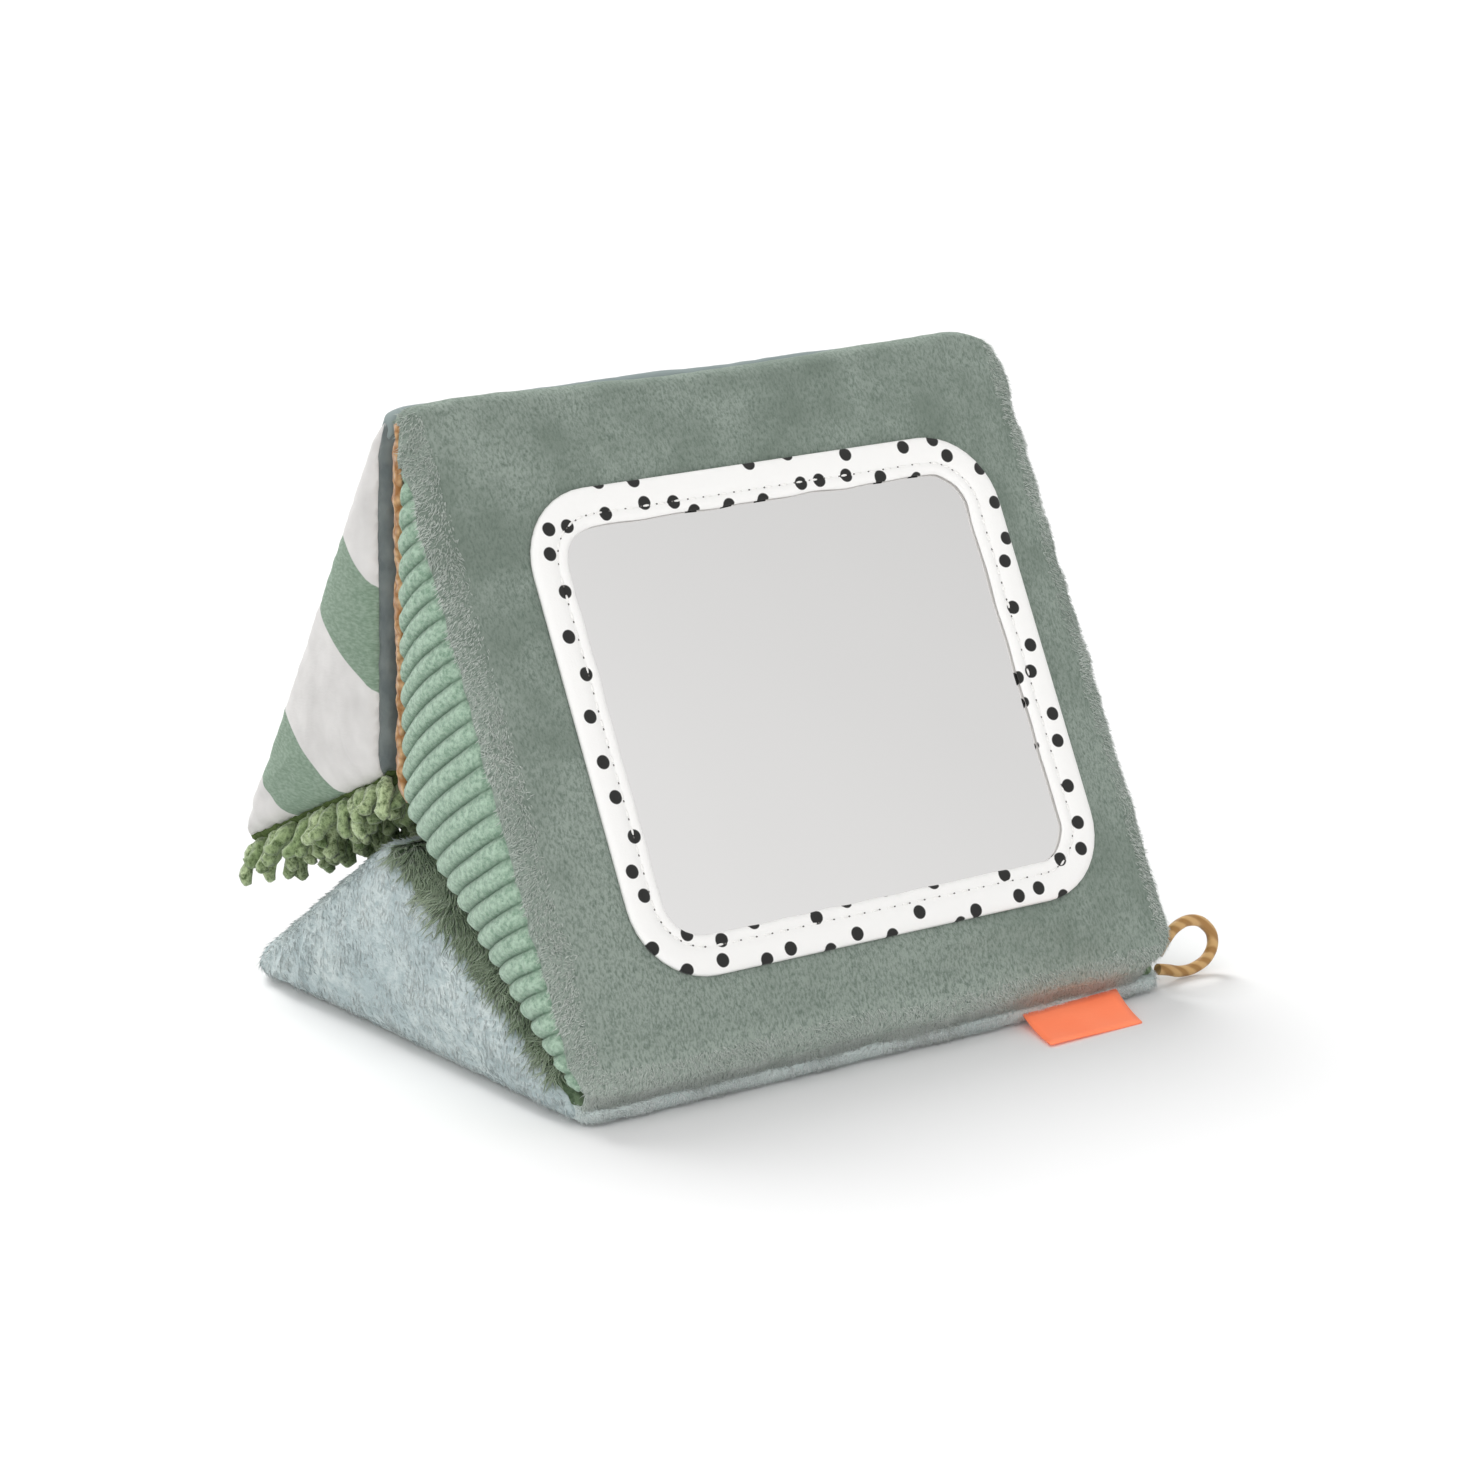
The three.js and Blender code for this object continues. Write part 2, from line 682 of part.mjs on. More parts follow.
// The cord loop at the right end: a teardrop of thick cord whose two ends enter the base cushion's end
function cordLoop() {
  const end = book_width / 2;
  const y = base_tip.x + loop_setback;
  const z = base_tip.y + loop_rise;
  const route = new THREE.CatmullRomCurve3(loop_route_shares.map(([out, up]) => new THREE.Vector3(
    end + out * loop_reach,
    y,
    z + up * loop_height,
  )), false, 'centripetal');
  const corners = [];
  for (let k = 0; k < loop_sides; k += 1) {
    corners.push(polar(loop_thickness / 2, 360 * k / loop_sides));
  }
  const section = new THREE.Shape(corners);
  const tube = solid(new THREE.ExtrudeGeometry(section, {
    extrudePath: route,
    steps: loop_steps,
    bevelEnabled: false,
  }));
  return tube.subtract(grownBase(touch_gap));
}

// The base cushion's outer form, grown by a clearance and set where the cushion lies
function grownBase(clearance) {
  const form = geometryOf(pillow(base_frame, base_crowns, -clearance, skin_detail));
  const group = cushionGroup(base_frame);
  group.updateMatrix();
  form.applyMatrix4(group.matrix);
  return solid(form);
}

const book = new THREE.Group();
book.add(baseCushion());
book.add(frontCushion());
book.add(backCushion());
book.add(hingeSeam('base_hinge_seam', base_hinge, sage_plush));
book.add(hingeSeam('ridge_hinge_seam', ridge_hinge, sage_plush));
book.add(sideTag());
book.add(piece('cord_loop', cordLoop(), cord_tan, 0.7));

export default book;
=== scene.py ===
import bmesh
import bpy
import math
import numpy as np
from mathutils import Matrix, Vector, noise
from mathutils.kdtree import KDTree


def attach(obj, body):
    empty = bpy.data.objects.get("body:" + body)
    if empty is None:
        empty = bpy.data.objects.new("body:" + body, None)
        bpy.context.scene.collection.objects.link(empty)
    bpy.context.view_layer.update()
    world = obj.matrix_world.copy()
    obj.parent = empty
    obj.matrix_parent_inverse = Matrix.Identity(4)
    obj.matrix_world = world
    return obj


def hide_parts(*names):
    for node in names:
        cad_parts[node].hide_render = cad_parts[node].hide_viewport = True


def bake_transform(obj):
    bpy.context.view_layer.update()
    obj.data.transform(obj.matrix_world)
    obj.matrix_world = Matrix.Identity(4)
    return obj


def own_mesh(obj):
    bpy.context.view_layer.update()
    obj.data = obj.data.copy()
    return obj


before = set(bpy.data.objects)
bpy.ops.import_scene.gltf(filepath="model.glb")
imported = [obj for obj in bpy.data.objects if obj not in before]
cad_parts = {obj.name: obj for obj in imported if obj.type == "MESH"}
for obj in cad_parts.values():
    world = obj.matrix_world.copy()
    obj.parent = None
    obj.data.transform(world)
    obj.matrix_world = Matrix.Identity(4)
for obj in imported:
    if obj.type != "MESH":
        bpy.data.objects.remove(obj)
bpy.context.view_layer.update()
scene = bpy.context.scene
mm = 0.001


# Camera: a long lens a little above the mirror, turned to the book's left end, as in the photograph.
# It aims at a point over the floor, moved across and up so that the book sits in the frame.
camera_azimuth, camera_elevation, camera_roll = -33.764, 13.835, -1.558
camera_distance, camera_across, camera_up = 1245.93 * mm, 9.705 * mm, 14.403 * mm
camera_aim, film_width, film_pixels, focal_pixels = 60 * mm, 36, 1460, 4372.42
azimuth, elevation = math.radians(camera_azimuth), math.radians(camera_elevation)
back = Vector((
    math.sin(azimuth) * math.cos(elevation), -math.cos(azimuth) * math.cos(elevation), math.sin(elevation),
))
right = Vector((0, 0, 1)).cross(back).normalized()
right = Matrix.Rotation(math.radians(camera_roll), 3, back) @ right
up = back.cross(right)
place = Vector((0, 0, camera_aim)) + back * camera_distance + right * camera_across + up * camera_up
camera_data = bpy.data.cameras.new("camera")
camera_data.lens = focal_pixels / film_pixels * film_width
camera_data.sensor_width = film_width
camera_data.clip_start, camera_data.clip_end = 0.05, 20
camera = bpy.data.objects.new("camera", camera_data)
scene.collection.objects.link(camera)
camera.matrix_world = Matrix.Translation(place) @ Matrix((right, up, back)).transposed().to_4x4()
scene.camera = camera
scene.view_settings.view_transform = "Standard"


# Cord loop: waxed round cord, both ends sewn into the seam at the right end of the base cushion.
# Its route is the same list of points, out of the end and up, as the solid follows.
def colour(code):
    """A hex sRGB colour as linear values."""
    def linear(v):
        return v / 12.92 if v <= 0.04045 else ((v + 0.055) / 1.055) ** 2.4
    return tuple(linear(int(code[i:i + 2], 16) / 255) for i in (1, 3, 5)) + (1.0,)


def fill(m, node, values):
    """Gives a node its values: settings, numbers, hex colours, and sockets to link."""
    for key, value in values.items():
        if isinstance(value, bpy.types.NodeSocket):
            m.node_tree.links.new(value, node.inputs[key])
        elif isinstance(key, int) or key in node.inputs:
            node.inputs[key].default_value = colour(value) if isinstance(value, str) else value
        else:
            setattr(node, key, value)


def add(m, kind, values, output=0):
    """Adds one node with its values and links, and gives one of its outputs."""
    node = m.node_tree.nodes.new("ShaderNode" + kind)
    fill(m, node, values)
    return node.outputs[output]


def material(name, base, roughness, sheen=0.0, metallic=0.0):
    """A plain material and its shader. Cloth scatters light, so that it shines half as much as plastic does."""
    m = bpy.data.materials.new(name)
    m.use_nodes = True
    shader = m.node_tree.nodes["Principled BSDF"]
    fill(m, shader, {
        "Base Color": base, "Roughness": roughness, "Metallic": metallic, "Sheen Weight": sheen,
        "Sheen Roughness": 0.5, "Specular IOR Level": 0.25 if metallic == 0 else 0.5,
    })
    return m, shader


def toned(m, pattern, start, end, low, high):
    """Goes from one tone to another where a pattern rises from start to end."""
    share = add(m, "MapRange", {"Value": pattern, "From Min": start, "From Max": end})
    return add(m, "Mix", {"data_type": "RGBA", 0: share, 6: low, 7: high}, 2)


def new_object(name, mesh, finish, body, smooth=True):
    """A finished piece, with its material, on its body."""
    piece = bpy.data.objects.new(name, mesh)
    scene.collection.objects.link(piece)
    mesh.materials.append(finish)
    for face in mesh.polygons:
        face.use_smooth = smooth
    if body is not None:
        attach(piece, body)
    return piece


loop_end, loop_y, loop_z = 99.0, -84.0, 6.5
loop_reach, loop_height, loop_thickness = 24.0, 17.0, 3.3
loop_route = [
    (-0.3, -0.12), (-0.1, -0.12), (0.05, -0.12), (0.2, -0.17), (0.4, -0.25), (0.65, -0.23), (0.84, -0.08),
    (0.9, 0.18), (0.8, 0.44), (0.58, 0.6), (0.34, 0.55), (0.17, 0.36), (0.05, 0.15), (-0.1, 0.12), (-0.3, 0.12),
]
curve = bpy.data.curves.new("cord_route", "CURVE")
curve.dimensions = "3D"
curve.resolution_u = 6
curve.bevel_depth = loop_thickness / 2 * mm
curve.bevel_resolution = 5
curve.use_fill_caps = True
spline = curve.splines.new("BEZIER")
shown_route = loop_route[2:-2]
spline.bezier_points.add(len(shown_route) - 1)
for point, (out, rise) in zip(spline.bezier_points, shown_route):
    point.co = Vector((loop_end + out * loop_reach, loop_y, loop_z + rise * loop_height)) * mm
    point.handle_left_type = point.handle_right_type = "AUTO"

# Waxed cotton cord, twisted from three strands: the wax gives a faint gloss, and painted shade gives the twist
# dark slanted lines.
tan_cord, shader = material("waxed tan cord", "#d9b47c", 0.45, sheen=0.1)
at = add(tan_cord, "TexCoord", {}, "Object")
twist = add(tan_cord, "TexWave", {
    "Scale": 1 / (1.3 * mm) / 6.28, "Distortion": 1.2, "Detail": 1.0, "bands_direction": "DIAGONAL",
    "Vector": at,
}, "Fac")
fill(tan_cord, shader, {
    "Base Color": toned(tan_cord, twist, 0.2, 0.8, "#a57b46", "#cda66f"),
    "Normal": add(tan_cord, "Bump", {"Height": twist, "Distance": 0.25 * mm, "Strength": 0.6}),
})
curve.materials.append(tan_cord)
cord = bpy.data.objects.new("sewn_cord_loop", curve)
scene.collection.objects.link(cord)
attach(cord, "base_cushion")
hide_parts("cord_loop")
loop_points, loop_steps = [], 12
for first, second in zip(spline.bezier_points, spline.bezier_points[1:]):
    for k in range(loop_steps):
        t = k / loop_steps
        loop_points.append(
            first.co * (1 - t) ** 3 + first.handle_right * 3 * t * (1 - t) ** 2
            + second.handle_left * 3 * t * t * (1 - t) + second.co * t ** 3
        )
loop_points.append(spline.bezier_points[-1].co.copy())


# Stuffing of the three cushions: loose fibre in a wedge, pressed out by its own spring.
# Each wedge is a rounded triangle drawn out along the ridge, remeshed, and blown up as cloth under pressure,
# with each face stopped at the crown that its seams and its neighbours leave it.
def cushion_frame(y, z, angle):
    """From a cushion's own frame, with +Y along its outer face and +Z out of it, to the book's."""
    return Matrix.Translation((0, y * mm, z * mm)) @ Matrix.Rotation(math.radians(angle), 4, "X")


def vertices_in(made):
    """The vertices among what an operator made."""
    return [v for v in made["geom"] if isinstance(v, bmesh.types.BMVert)]


def turn_faces(bm, way):
    """Turns the faces of an open sheet to one side."""
    bmesh.ops.recalc_face_normals(bm, faces=bm.faces[:])
    if sum(f.normal.dot(Vector(way)) for f in bm.faces) < 0:
        bmesh.ops.reverse_faces(bm, faces=bm.faces[:])


def mesh_from(bm, name):
    mesh = bpy.data.meshes.new(name)
    bm.to_mesh(mesh)
    bm.free()
    return mesh


def rounded_wedge(corners, roundings):
    """A cushion before it is stuffed: its section, with rounded corners, drawn out along the ridge."""
    bm = bmesh.new()
    rim = [bm.verts.new((-half_width * mm, y * mm, z * mm)) for y, z in corners]
    bm.faces.new(rim)
    for vertex, rounding in zip(rim, roundings):
        bmesh.ops.bevel(
            bm, geom=[vertex], offset=rounding * mm, segments=8, profile=0.5, material=-1, affect="VERTICES",
        )
    out = bmesh.ops.extrude_face_region(bm, geom=bm.faces[:])
    bmesh.ops.translate(bm, verts=vertices_in(out), vec=(2 * half_width * mm, 0, 0))
    rims = [e for e in bm.edges if abs(e.verts[0].co.x - e.verts[1].co.x) < 1e-6]
    bmesh.ops.bevel(
        bm, geom=rims, offset=rim_rounding * mm, segments=4, profile=0.5, material=-1, affect="EDGES",
    )
    bmesh.ops.recalc_face_normals(bm, faces=bm.faces[:])
    return mesh_from(bm, "wedge")


def finished_mesh(piece):
    """The mesh with the piece's modifiers applied."""
    evaluated = piece.evaluated_get(bpy.context.evaluated_depsgraph_get())
    return bpy.data.meshes.new_from_object(evaluated)


def divided_mesh(piece):
    """The mesh divided once more and smoothed."""
    divide = piece.modifiers.new("divide", "SUBSURF")
    divide.levels = divide.render_levels = 1
    mesh = finished_mesh(piece)
    piece.modifiers.clear()
    return mesh


def positions(mesh):
    co = np.zeros(len(mesh.vertices) * 3)
    mesh.vertices.foreach_get("co", co)
    return co.reshape(-1, 3)


def outward(mesh):
    way = np.zeros(len(mesh.vertices) * 3)
    mesh.vertices.foreach_get("normal", way)
    return way.reshape(-1, 3)


def place_vertices(mesh, co):
    mesh.vertices.foreach_set("co", np.asarray(co, float).ravel())
    mesh.update()


half_width, rim_rounding, corner_rounding, right_corner = 99.0, 3.4, 6.0, 11.0
half_depth, end_crown, seam_slack = 96, 4.0, 0.5
voxel, swelling_steps, stuffing_pressure = 3.6 * mm, 20, 4
cushions = {
    # corners of the section (along, out) in the order far, near, inner, how far each is rounded back,
    # its frame (y, z, angle), the crowns of the outer, near and far faces,
    # how far these three wrap onto the ends, and how far out the outer face's far and near seams run
    "base": (((186.62, 4.2), (-14.64, 4.2), (78.62, -54.09)), (16.6, 14.6, 4.1), (85.00, 4.70, 180.0),
             (1.0, 2.0, 1.5), (0.0, 0.0, 2.5), (-1.2, 2.2)),
    "front": (((194.03, 4.2), (-17.11, 4.2), (92.32, -52.96)), (16.0, 17.1, 3.8), (-89.37, 12.80, 63.94),
              (4.0, 1.5, 0.3), (3.0, 0.0, 5.4), (-2.6, -2.4)),
    "back": (((171.62, 4.2), (-15.96, 4.2), (82.62, -50.92)), (14.6, 16.0, 4.2), (-1.98, 173.22, -55.44),
             (4.0, 0.3, 0.0), (1.0, 5.0, 0.0), (0.5, -2.4)),
}


def corner_share(name, x, along, lowest, highest):
    """How much narrower the front cushion is where its right-hand corners are rounded off."""
    near = np.minimum(along - lowest, highest - along).clip(0, right_corner)
    pull = right_corner - np.sqrt(right_corner ** 2 - (right_corner - near) ** 2)
    return 1 - (name == "front") * (x > 0) * pull / half_width


def section(name):
    """A cushion's corners in metres, its middle, and its three sides: corner, way along, way in, length."""
    corners = [np.array(c) * mm for c in cushions[name][0]]
    middle = sum(corners) / 3
    sides = []
    for k in range(3):
        start, end = corners[k], corners[(k + 1) % 3]
        along = (end - start) / np.linalg.norm(end - start)
        inward = np.array([-along[1], along[0]])
        sides.append((start, along, inward * np.sign((middle - start) @ inward), np.linalg.norm(end - start)))
    return corners, middle, sides


wedges = {}
for name, cushion in cushions.items():
    pattern = bpy.data.objects.new(name + "_pattern", rounded_wedge(*cushion[:2]))
    scene.collection.objects.link(pattern)
    wedge = bpy.data.objects.new(name + "_wedge", pattern.data.copy())
    scene.collection.objects.link(wedge)
    remesh = wedge.modifiers.new("remesh", "REMESH")
    remesh.mode = "VOXEL"
    remesh.voxel_size = voxel
    smooth = wedge.modifiers.new("smooth", "SMOOTH")
    smooth.iterations = 3
    wrap = wedge.modifiers.new("wrap", "SHRINKWRAP")
    wrap.target = pattern
    mesh = finished_mesh(wedge)
    wedge.modifiers.clear()
    wedge.data = mesh
    bpy.data.objects.remove(pattern)
    rest = positions(mesh)
    rest -= outward(mesh) * seam_slack * mm
    middle = section(name)[1]
    beyond = np.clip(np.abs(rest[:, 0]) / mm - (half_width - corner_rounding), 0, corner_rounding)
    drawn = corner_rounding - np.sqrt(corner_rounding ** 2 - np.minimum(beyond, corner_rounding * 0.98) ** 2)
    rest[:, 1] = middle[0] + (rest[:, 1] - middle[0]) * (1 - drawn / half_depth)
    along = rest[:, 1] / mm
    rest[:, 0] *= corner_share(name, rest[:, 0], along, along.min(), along.max())
    place_vertices(mesh, rest)
    wedges[name] = (wedge, rest)
    cloth = wedge.modifiers.new("cloth", "CLOTH")
    cloth.settings.use_pressure = True
    cloth.settings.uniform_pressure_force = stuffing_pressure
    cloth.settings.effector_weights.gravity = 0
    cloth.point_cache.frame_start, cloth.point_cache.frame_end = 1, swelling_steps
for step in range(1, swelling_steps + 1):
    scene.frame_set(step)


def face_limit(name, rest, way):
    """How far the stuffing may press each point out: its face's crown, which dies away towards the seams."""
    corners, middle, sides = section(name)
    crowns = cushions[name][3]
    flat = rest[:, 1:]
    lengthwise = 1 - (np.abs(rest[:, 0]) / (half_width * mm)).clip(0, 1) ** 8
    depth = np.min([(flat - start) @ inward for start, along, inward, length in sides], axis=0)
    inradius = min((middle - start) @ inward for start, along, inward, length in sides)
    limit = end_crown * (1 - (1 - (depth / inradius).clip(0, 1)) ** 2)
    towards = np.argmax([-(way[:, 1:] @ inward) for start, along, inward, length in sides], axis=0)
    for k, (start, along, inward, length) in enumerate(sides):
        share = ((flat - start) @ along / length).clip(0, 1)
        power = 8 if crowns[0] == crowns[k] and k == 0 and name != "back" else 2
        crown = crowns[k] * (1 - np.abs(2 * share - 1) ** power) * lengthwise
        limit = np.where((towards == k) & (np.abs(way[:, 0]) < 0.6), crown, limit)
    return (limit + seam_slack) * mm


resting, stuffed = {}, {}
for name, (wedge, rest) in wedges.items():
    way = outward(wedge.data)
    swollen = finished_mesh(wedge)
    moved = positions(swollen) - rest
    reach, limit = np.linalg.norm(moved, axis=1), face_limit(name, rest, way)
    moved *= (np.minimum(reach, limit) / np.maximum(reach, 1e-9))[:, None]
    pressed_out = (moved * way).sum(1)
    moved += way * (np.clip(pressed_out, 0.8 * limit, limit) - pressed_out)[:, None]
    wedge.modifiers.clear()
    resting[name] = divided_mesh(wedge)
    place_vertices(swollen, rest + moved)
    wedge.data = swollen
    relax = wedge.modifiers.new("relax", "SMOOTH")
    relax.iterations = 2
    stuffed[name] = divided_mesh(wedge)
    bpy.data.objects.remove(wedge)
scene.frame_set(1)

# Loose polyester fibre: matt and off-white, in tufts.
fill_white, shader = material("loose polyester fibre", "#f1efe9", 0.95, sheen=0.3)
at = add(fill_white, "TexCoord", {}, "Object")
tufts = add(fill_white, "TexNoise", {"Vector": at, "Scale": 1 / (6 * mm), "Detail": 4})
fill(fill_white, shader, {
    "Base Color": toned(fill_white, tufts, 0.0, 1.0, "#e4e1d9", "#f8f6f1"),
    "Normal": add(fill_white, "Bump", {"Height": tufts, "Distance": 1.5 * mm, "Strength": 1.0}),
})

# The plush is as thick as the skin. The stuffing keeps a gap inside it, and in front a flat seat and a pocket
# for the mirror window, whose sizes are measured along the front cushion's outer face.
skin, filling_gap, filling_width_share = 2.2, 0.6, 0.965
mirror_middle, frame_size, frame_corner, frame_band = (3.0, 87.0), (155.0, 136.0), 22.0, 11.0
seat, pocket_depth, pocket_inset = 7.4, 3.9, 5


def within_plate(x, along, width, height, corner):
    """How far inside a round-cornered rectangle about the mirror's middle a point lies, in millimetres."""
    dx = np.abs(x / mm - mirror_middle[0]) - (width / 2 - corner)
    dy = np.abs(along / mm - mirror_middle[1]) - (height / 2 - corner)
    outside = np.hypot(np.maximum(dx, 0), np.maximum(dy, 0))
    return corner - outside - np.minimum(np.maximum(dx, dy), 0)


def pressed(co, depth=0.0):
    """The front face pressed flat under the mirror's band, and sunk into a pocket under the mirror."""
    band = within_plate(co[:, 0], co[:, 1], *frame_size, frame_corner)
    pocket = [size - 2 * pocket_inset for size in frame_size]
    glass = within_plate(co[:, 0], co[:, 1], *pocket, frame_corner - pocket_inset)
    flat = seat - 0.1 + 1.2 * np.clip(-band / 4, 0, 1) ** 2 + 50 * (band < -4)
    sunk = flat - np.clip(glass / 2.5, 0, 1) * pocket_depth
    outer = co[:, 2] > 0
    co[:, 2] = np.where(outer, np.minimum(co[:, 2], (sunk - depth) * mm), co[:, 2])
    return co


for name, form in stuffed.items():
    inner = form.copy()
    co = positions(form) - outward(form) * (skin + filling_gap) * mm
    if name == "front":
        co = pressed(co, skin + 0.7)
        co[:, 0] *= filling_width_share
    place_vertices(inner, co)
    inner.transform(cushion_frame(*cushions[name][2]))
    stuffing = new_object(name + "_stuffing", inner, fill_white, name + "_cushion")
    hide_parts(name + "_filling")


# Covers: each cushion has an outer face, two inner faces and two ends, sewn right sides together and turned,
# so that every seam is a valley. The seams are marked on the unstuffed wedge and carried out with the cloth.
end_seam, seam_depth, seam_width = 97.4, 1.0, 1.7
rib_top, ridge_bulge, ridge_wave, floor_flat = 170.5, 1.8, 140.0, 4.68
creases = {
    # pulled folds: ends (x, along, out) in millimetres, depth, width
    "base": [((-101, 8, 0), (-103, 22, -18), 1.4, 2.4), ((-101, 18, 3), (-103, 34, -20), 1.1, 2.2),
             ((-101, 30, 3), (-103, 44, -16), 0.8, 2.2), ((101, 12, 0), (103, 26, -18), 1.3, 2.4),
             ((101, 40, 3), (103, 46, -16), 0.8, 2.2)],
    "front": [((-96, 150, 5), (-80, 168, 8), 0.9, 4.0), ((70, 168, 8), (88, 178, 5), 0.9, 4.0),
              ((-30, 176, 6), (10, 170, 8), 0.7, 5.0), ((-90, 60, 7), (-82, 82, 8), 0.7, 4.0),
              ((20, 4, 7), (58, 8, 8), 0.8, 5.0), ((86, 40, 7), (92, 74, 7), 0.7, 4.0)],
    "back": [((-101, 8, -8), (-103, 24, -16), 0.8, 2.4), ((-101, 140, -4), (-103, 118, -14), 1.0, 2.6),
             ((-101, 92, -42), (-103, 84, -26), 0.9, 2.6), ((101, 130, -4), (103, 108, -14), 1.0, 2.6),
             ((-60, 30, 8), (-20, 60, 8), 0.9, 6.0), ((20, 110, 8), (70, 124, 8), 0.9, 6.0)],
}
unevenness = {"base": (0.35, 0.2), "front": (0.55, 0.15), "back": (0.7, 0.2)}


def cover_of(name):
    """The whole cover, cut along its seams: face indices of 0 outer, 1 near, 2 far, 3 left end, 4 right end."""
    corners, middle, sides = section(name)
    wraps = cushions[name][4]
    bm = bmesh.new()
    bm.from_mesh(resting[name])
    carried = bm.verts.layers.float_vector.new("carried")
    outer_way = bm.verts.layers.float_vector.new("way")
    for vertex, co, way in zip(bm.verts, positions(stuffed[name]), outward(stuffed[name])):
        vertex[carried], vertex[outer_way] = co, way
    edges_out = cushions[name][5]
    ray = corners[2] - middle
    cuts = [((0, *middle), (0, -ray[1], ray[0]))] + [((0, 0, z * mm), (0, 0, 1)) for z in edges_out]
    cuts += [((x * mm, 0, 0), (1, 0, 0)) for x in (-end_seam, end_seam)]
    for point, way in cuts:
        geom = bm.verts[:] + bm.edges[:] + bm.faces[:]
        bmesh.ops.bisect_plane(bm, geom=geom, dist=0.15 * mm, plane_co=point, plane_no=way)
    for wrap, (start, along, inward, length) in zip(wraps, sides):
        if wrap:
            line = start + inward * wrap * mm
            ends = [f for f in bm.faces if abs(f.calc_center_median().x) > (end_seam - 0.05) * mm]
            geom = ends + list({e for f in ends for e in f.edges}) + list({v for f in ends for v in f.verts})
            bmesh.ops.bisect_plane(
                bm, geom=geom, dist=0.15 * mm, plane_co=(0, *line), plane_no=(0, *inward),
            )
    bmesh.ops.remove_doubles(bm, verts=bm.verts[:], dist=0.12 * mm)
    kinds = {}
    for face in bm.faces:
        centre = face.calc_center_median()
        flat = np.array([centre.y, centre.z])
        if abs(centre.x) < end_seam * mm:
            far_side = (flat - middle) @ np.array([-ray[1], ray[0]]) > 0
            edge_out = edges_out[0 if centre.y > middle[0] else 1] * mm
            kinds[face] = 0 if centre.z > edge_out else (2 if far_side else 1)
        else:
            kinds[face] = 3 if centre.x < 0 else 4
            for k, (wrap, (start, along, inward, length)) in enumerate(zip(wraps, sides)):
                if (flat - start) @ inward < wrap * mm:
                    kinds[face] = k
            if name == "front" and kinds[face] > 2 and centre.y > rib_top * mm:
                kinds[face] = 0
    seam = KDTree(len(bm.verts))
    for vertex in bm.verts:
        if len({kinds[f] for f in vertex.link_faces}) > 1:
            seam.insert(vertex.co, vertex.index)
    seam.balance()
    distance = np.array([seam.find(v.co)[2] / mm for v in bm.verts])
    for vertex in bm.verts:
        vertex.co = vertex[carried]
    broad, fine = unevenness[name]
    for vertex, gap in zip(bm.verts, distance):
        co = vertex.co
        outer = co.z > 0 and abs(co.x) < 96 * mm
        shift = -seam_depth * math.exp(-(gap / seam_width) ** 2)
        shift += (broad if outer else 0.2) * noise.noise(co * 34 + Vector((len(name), 0, 0)))
        shift += fine * noise.noise(co * 130)
        shift += 0.45 * noise.noise(co * 240) * math.exp(-gap / 5)
        for start, end, depth, width in creases[name]:
            a, b = Vector(start) * mm, Vector(end) * mm
            share = max(0.0, min(1.0, (co - a).dot(b - a) / (b - a).length_squared))
            bend = 0.12 * (b - a).length * math.sin(math.pi * share)
            off = (co - a.lerp(b, share) - Vector((0, bend, 0))).length / (width * mm)
            if off < 3:
                shift -= depth * math.exp(-off * off) * math.sin(math.pi * (0.1 + 0.8 * share))
                shift += 0.5 * depth * math.exp(-(off - 1.6) ** 2)
        vertex.co = co + Vector(vertex[outer_way]).normalized() * shift * mm
    co = np.array([v.co for v in bm.verts])
    if name == "front":
        wave = np.sin(co[:, 0] / mm * math.pi / ridge_wave) ** 2
        co[:, 1] += ridge_bulge * mm * wave * np.clip((co[:, 1] / mm - 150) / 30, 0, 1)
        fuller = np.clip((np.abs(co[:, 0]) / mm - 90) / 8, 0, 1) * np.clip((co[:, 2] / mm + 4) / 5, 0, 1)
        rim_waver = np.array([1.6 + 1.1 * noise.noise(Vector((v * 110, 5, 0))) for v in co[:, 1]])
        co[:, 0] += np.sign(co[:, 0]) * fuller * rim_waver * mm
        co = pressed(co)
    if name == "base":
        co[:, 2] = np.minimum(co[:, 2], floor_flat * mm)
    for vertex, spot in zip(bm.verts, co):
        vertex.co = spot
    bm.faces.index_update()
    panels = {}
    for face in bm.faces:
        panels.setdefault(kinds[face], []).append(face.index)
    return mesh_from(bm, name + "_cover"), panels


covers = {name: cover_of(name) for name in cushions}


def thickened(bm, thickness):
    """Gives a sheet the thickness of its cloth, inwards. Its edges are made in any order, and so are sorted."""
    way = bm.verts.layers.float_vector.get("way")
    if way is None:
        way = bm.verts.layers.float_vector.new("way")
        bm.normal_update()
        for vertex in bm.verts:
            vertex[way] = vertex.normal
    sheet = set(bm.faces)
    made = bmesh.ops.extrude_face_region(bm, geom=bm.faces[:], use_keep_orig=True)
    sheet.update(f for f in made["geom"] if isinstance(f, bmesh.types.BMFace))
    for inner in vertices_in(made):
        inner.co -= Vector(inner[way]).normalized() * thickness * mm
    bmesh.ops.recalc_face_normals(bm, faces=bm.faces[:])
    bm.faces.index_update()
    edges = [f for f in bm.faces if f not in sheet]
    places = [f.index for f in edges]
    for place, face in zip(places, sorted(edges, key=lambda f: tuple(f.calc_center_median()))):
        face.index = place
    bm.faces.sort()
    bm.verts.layers.float_vector.remove(way)


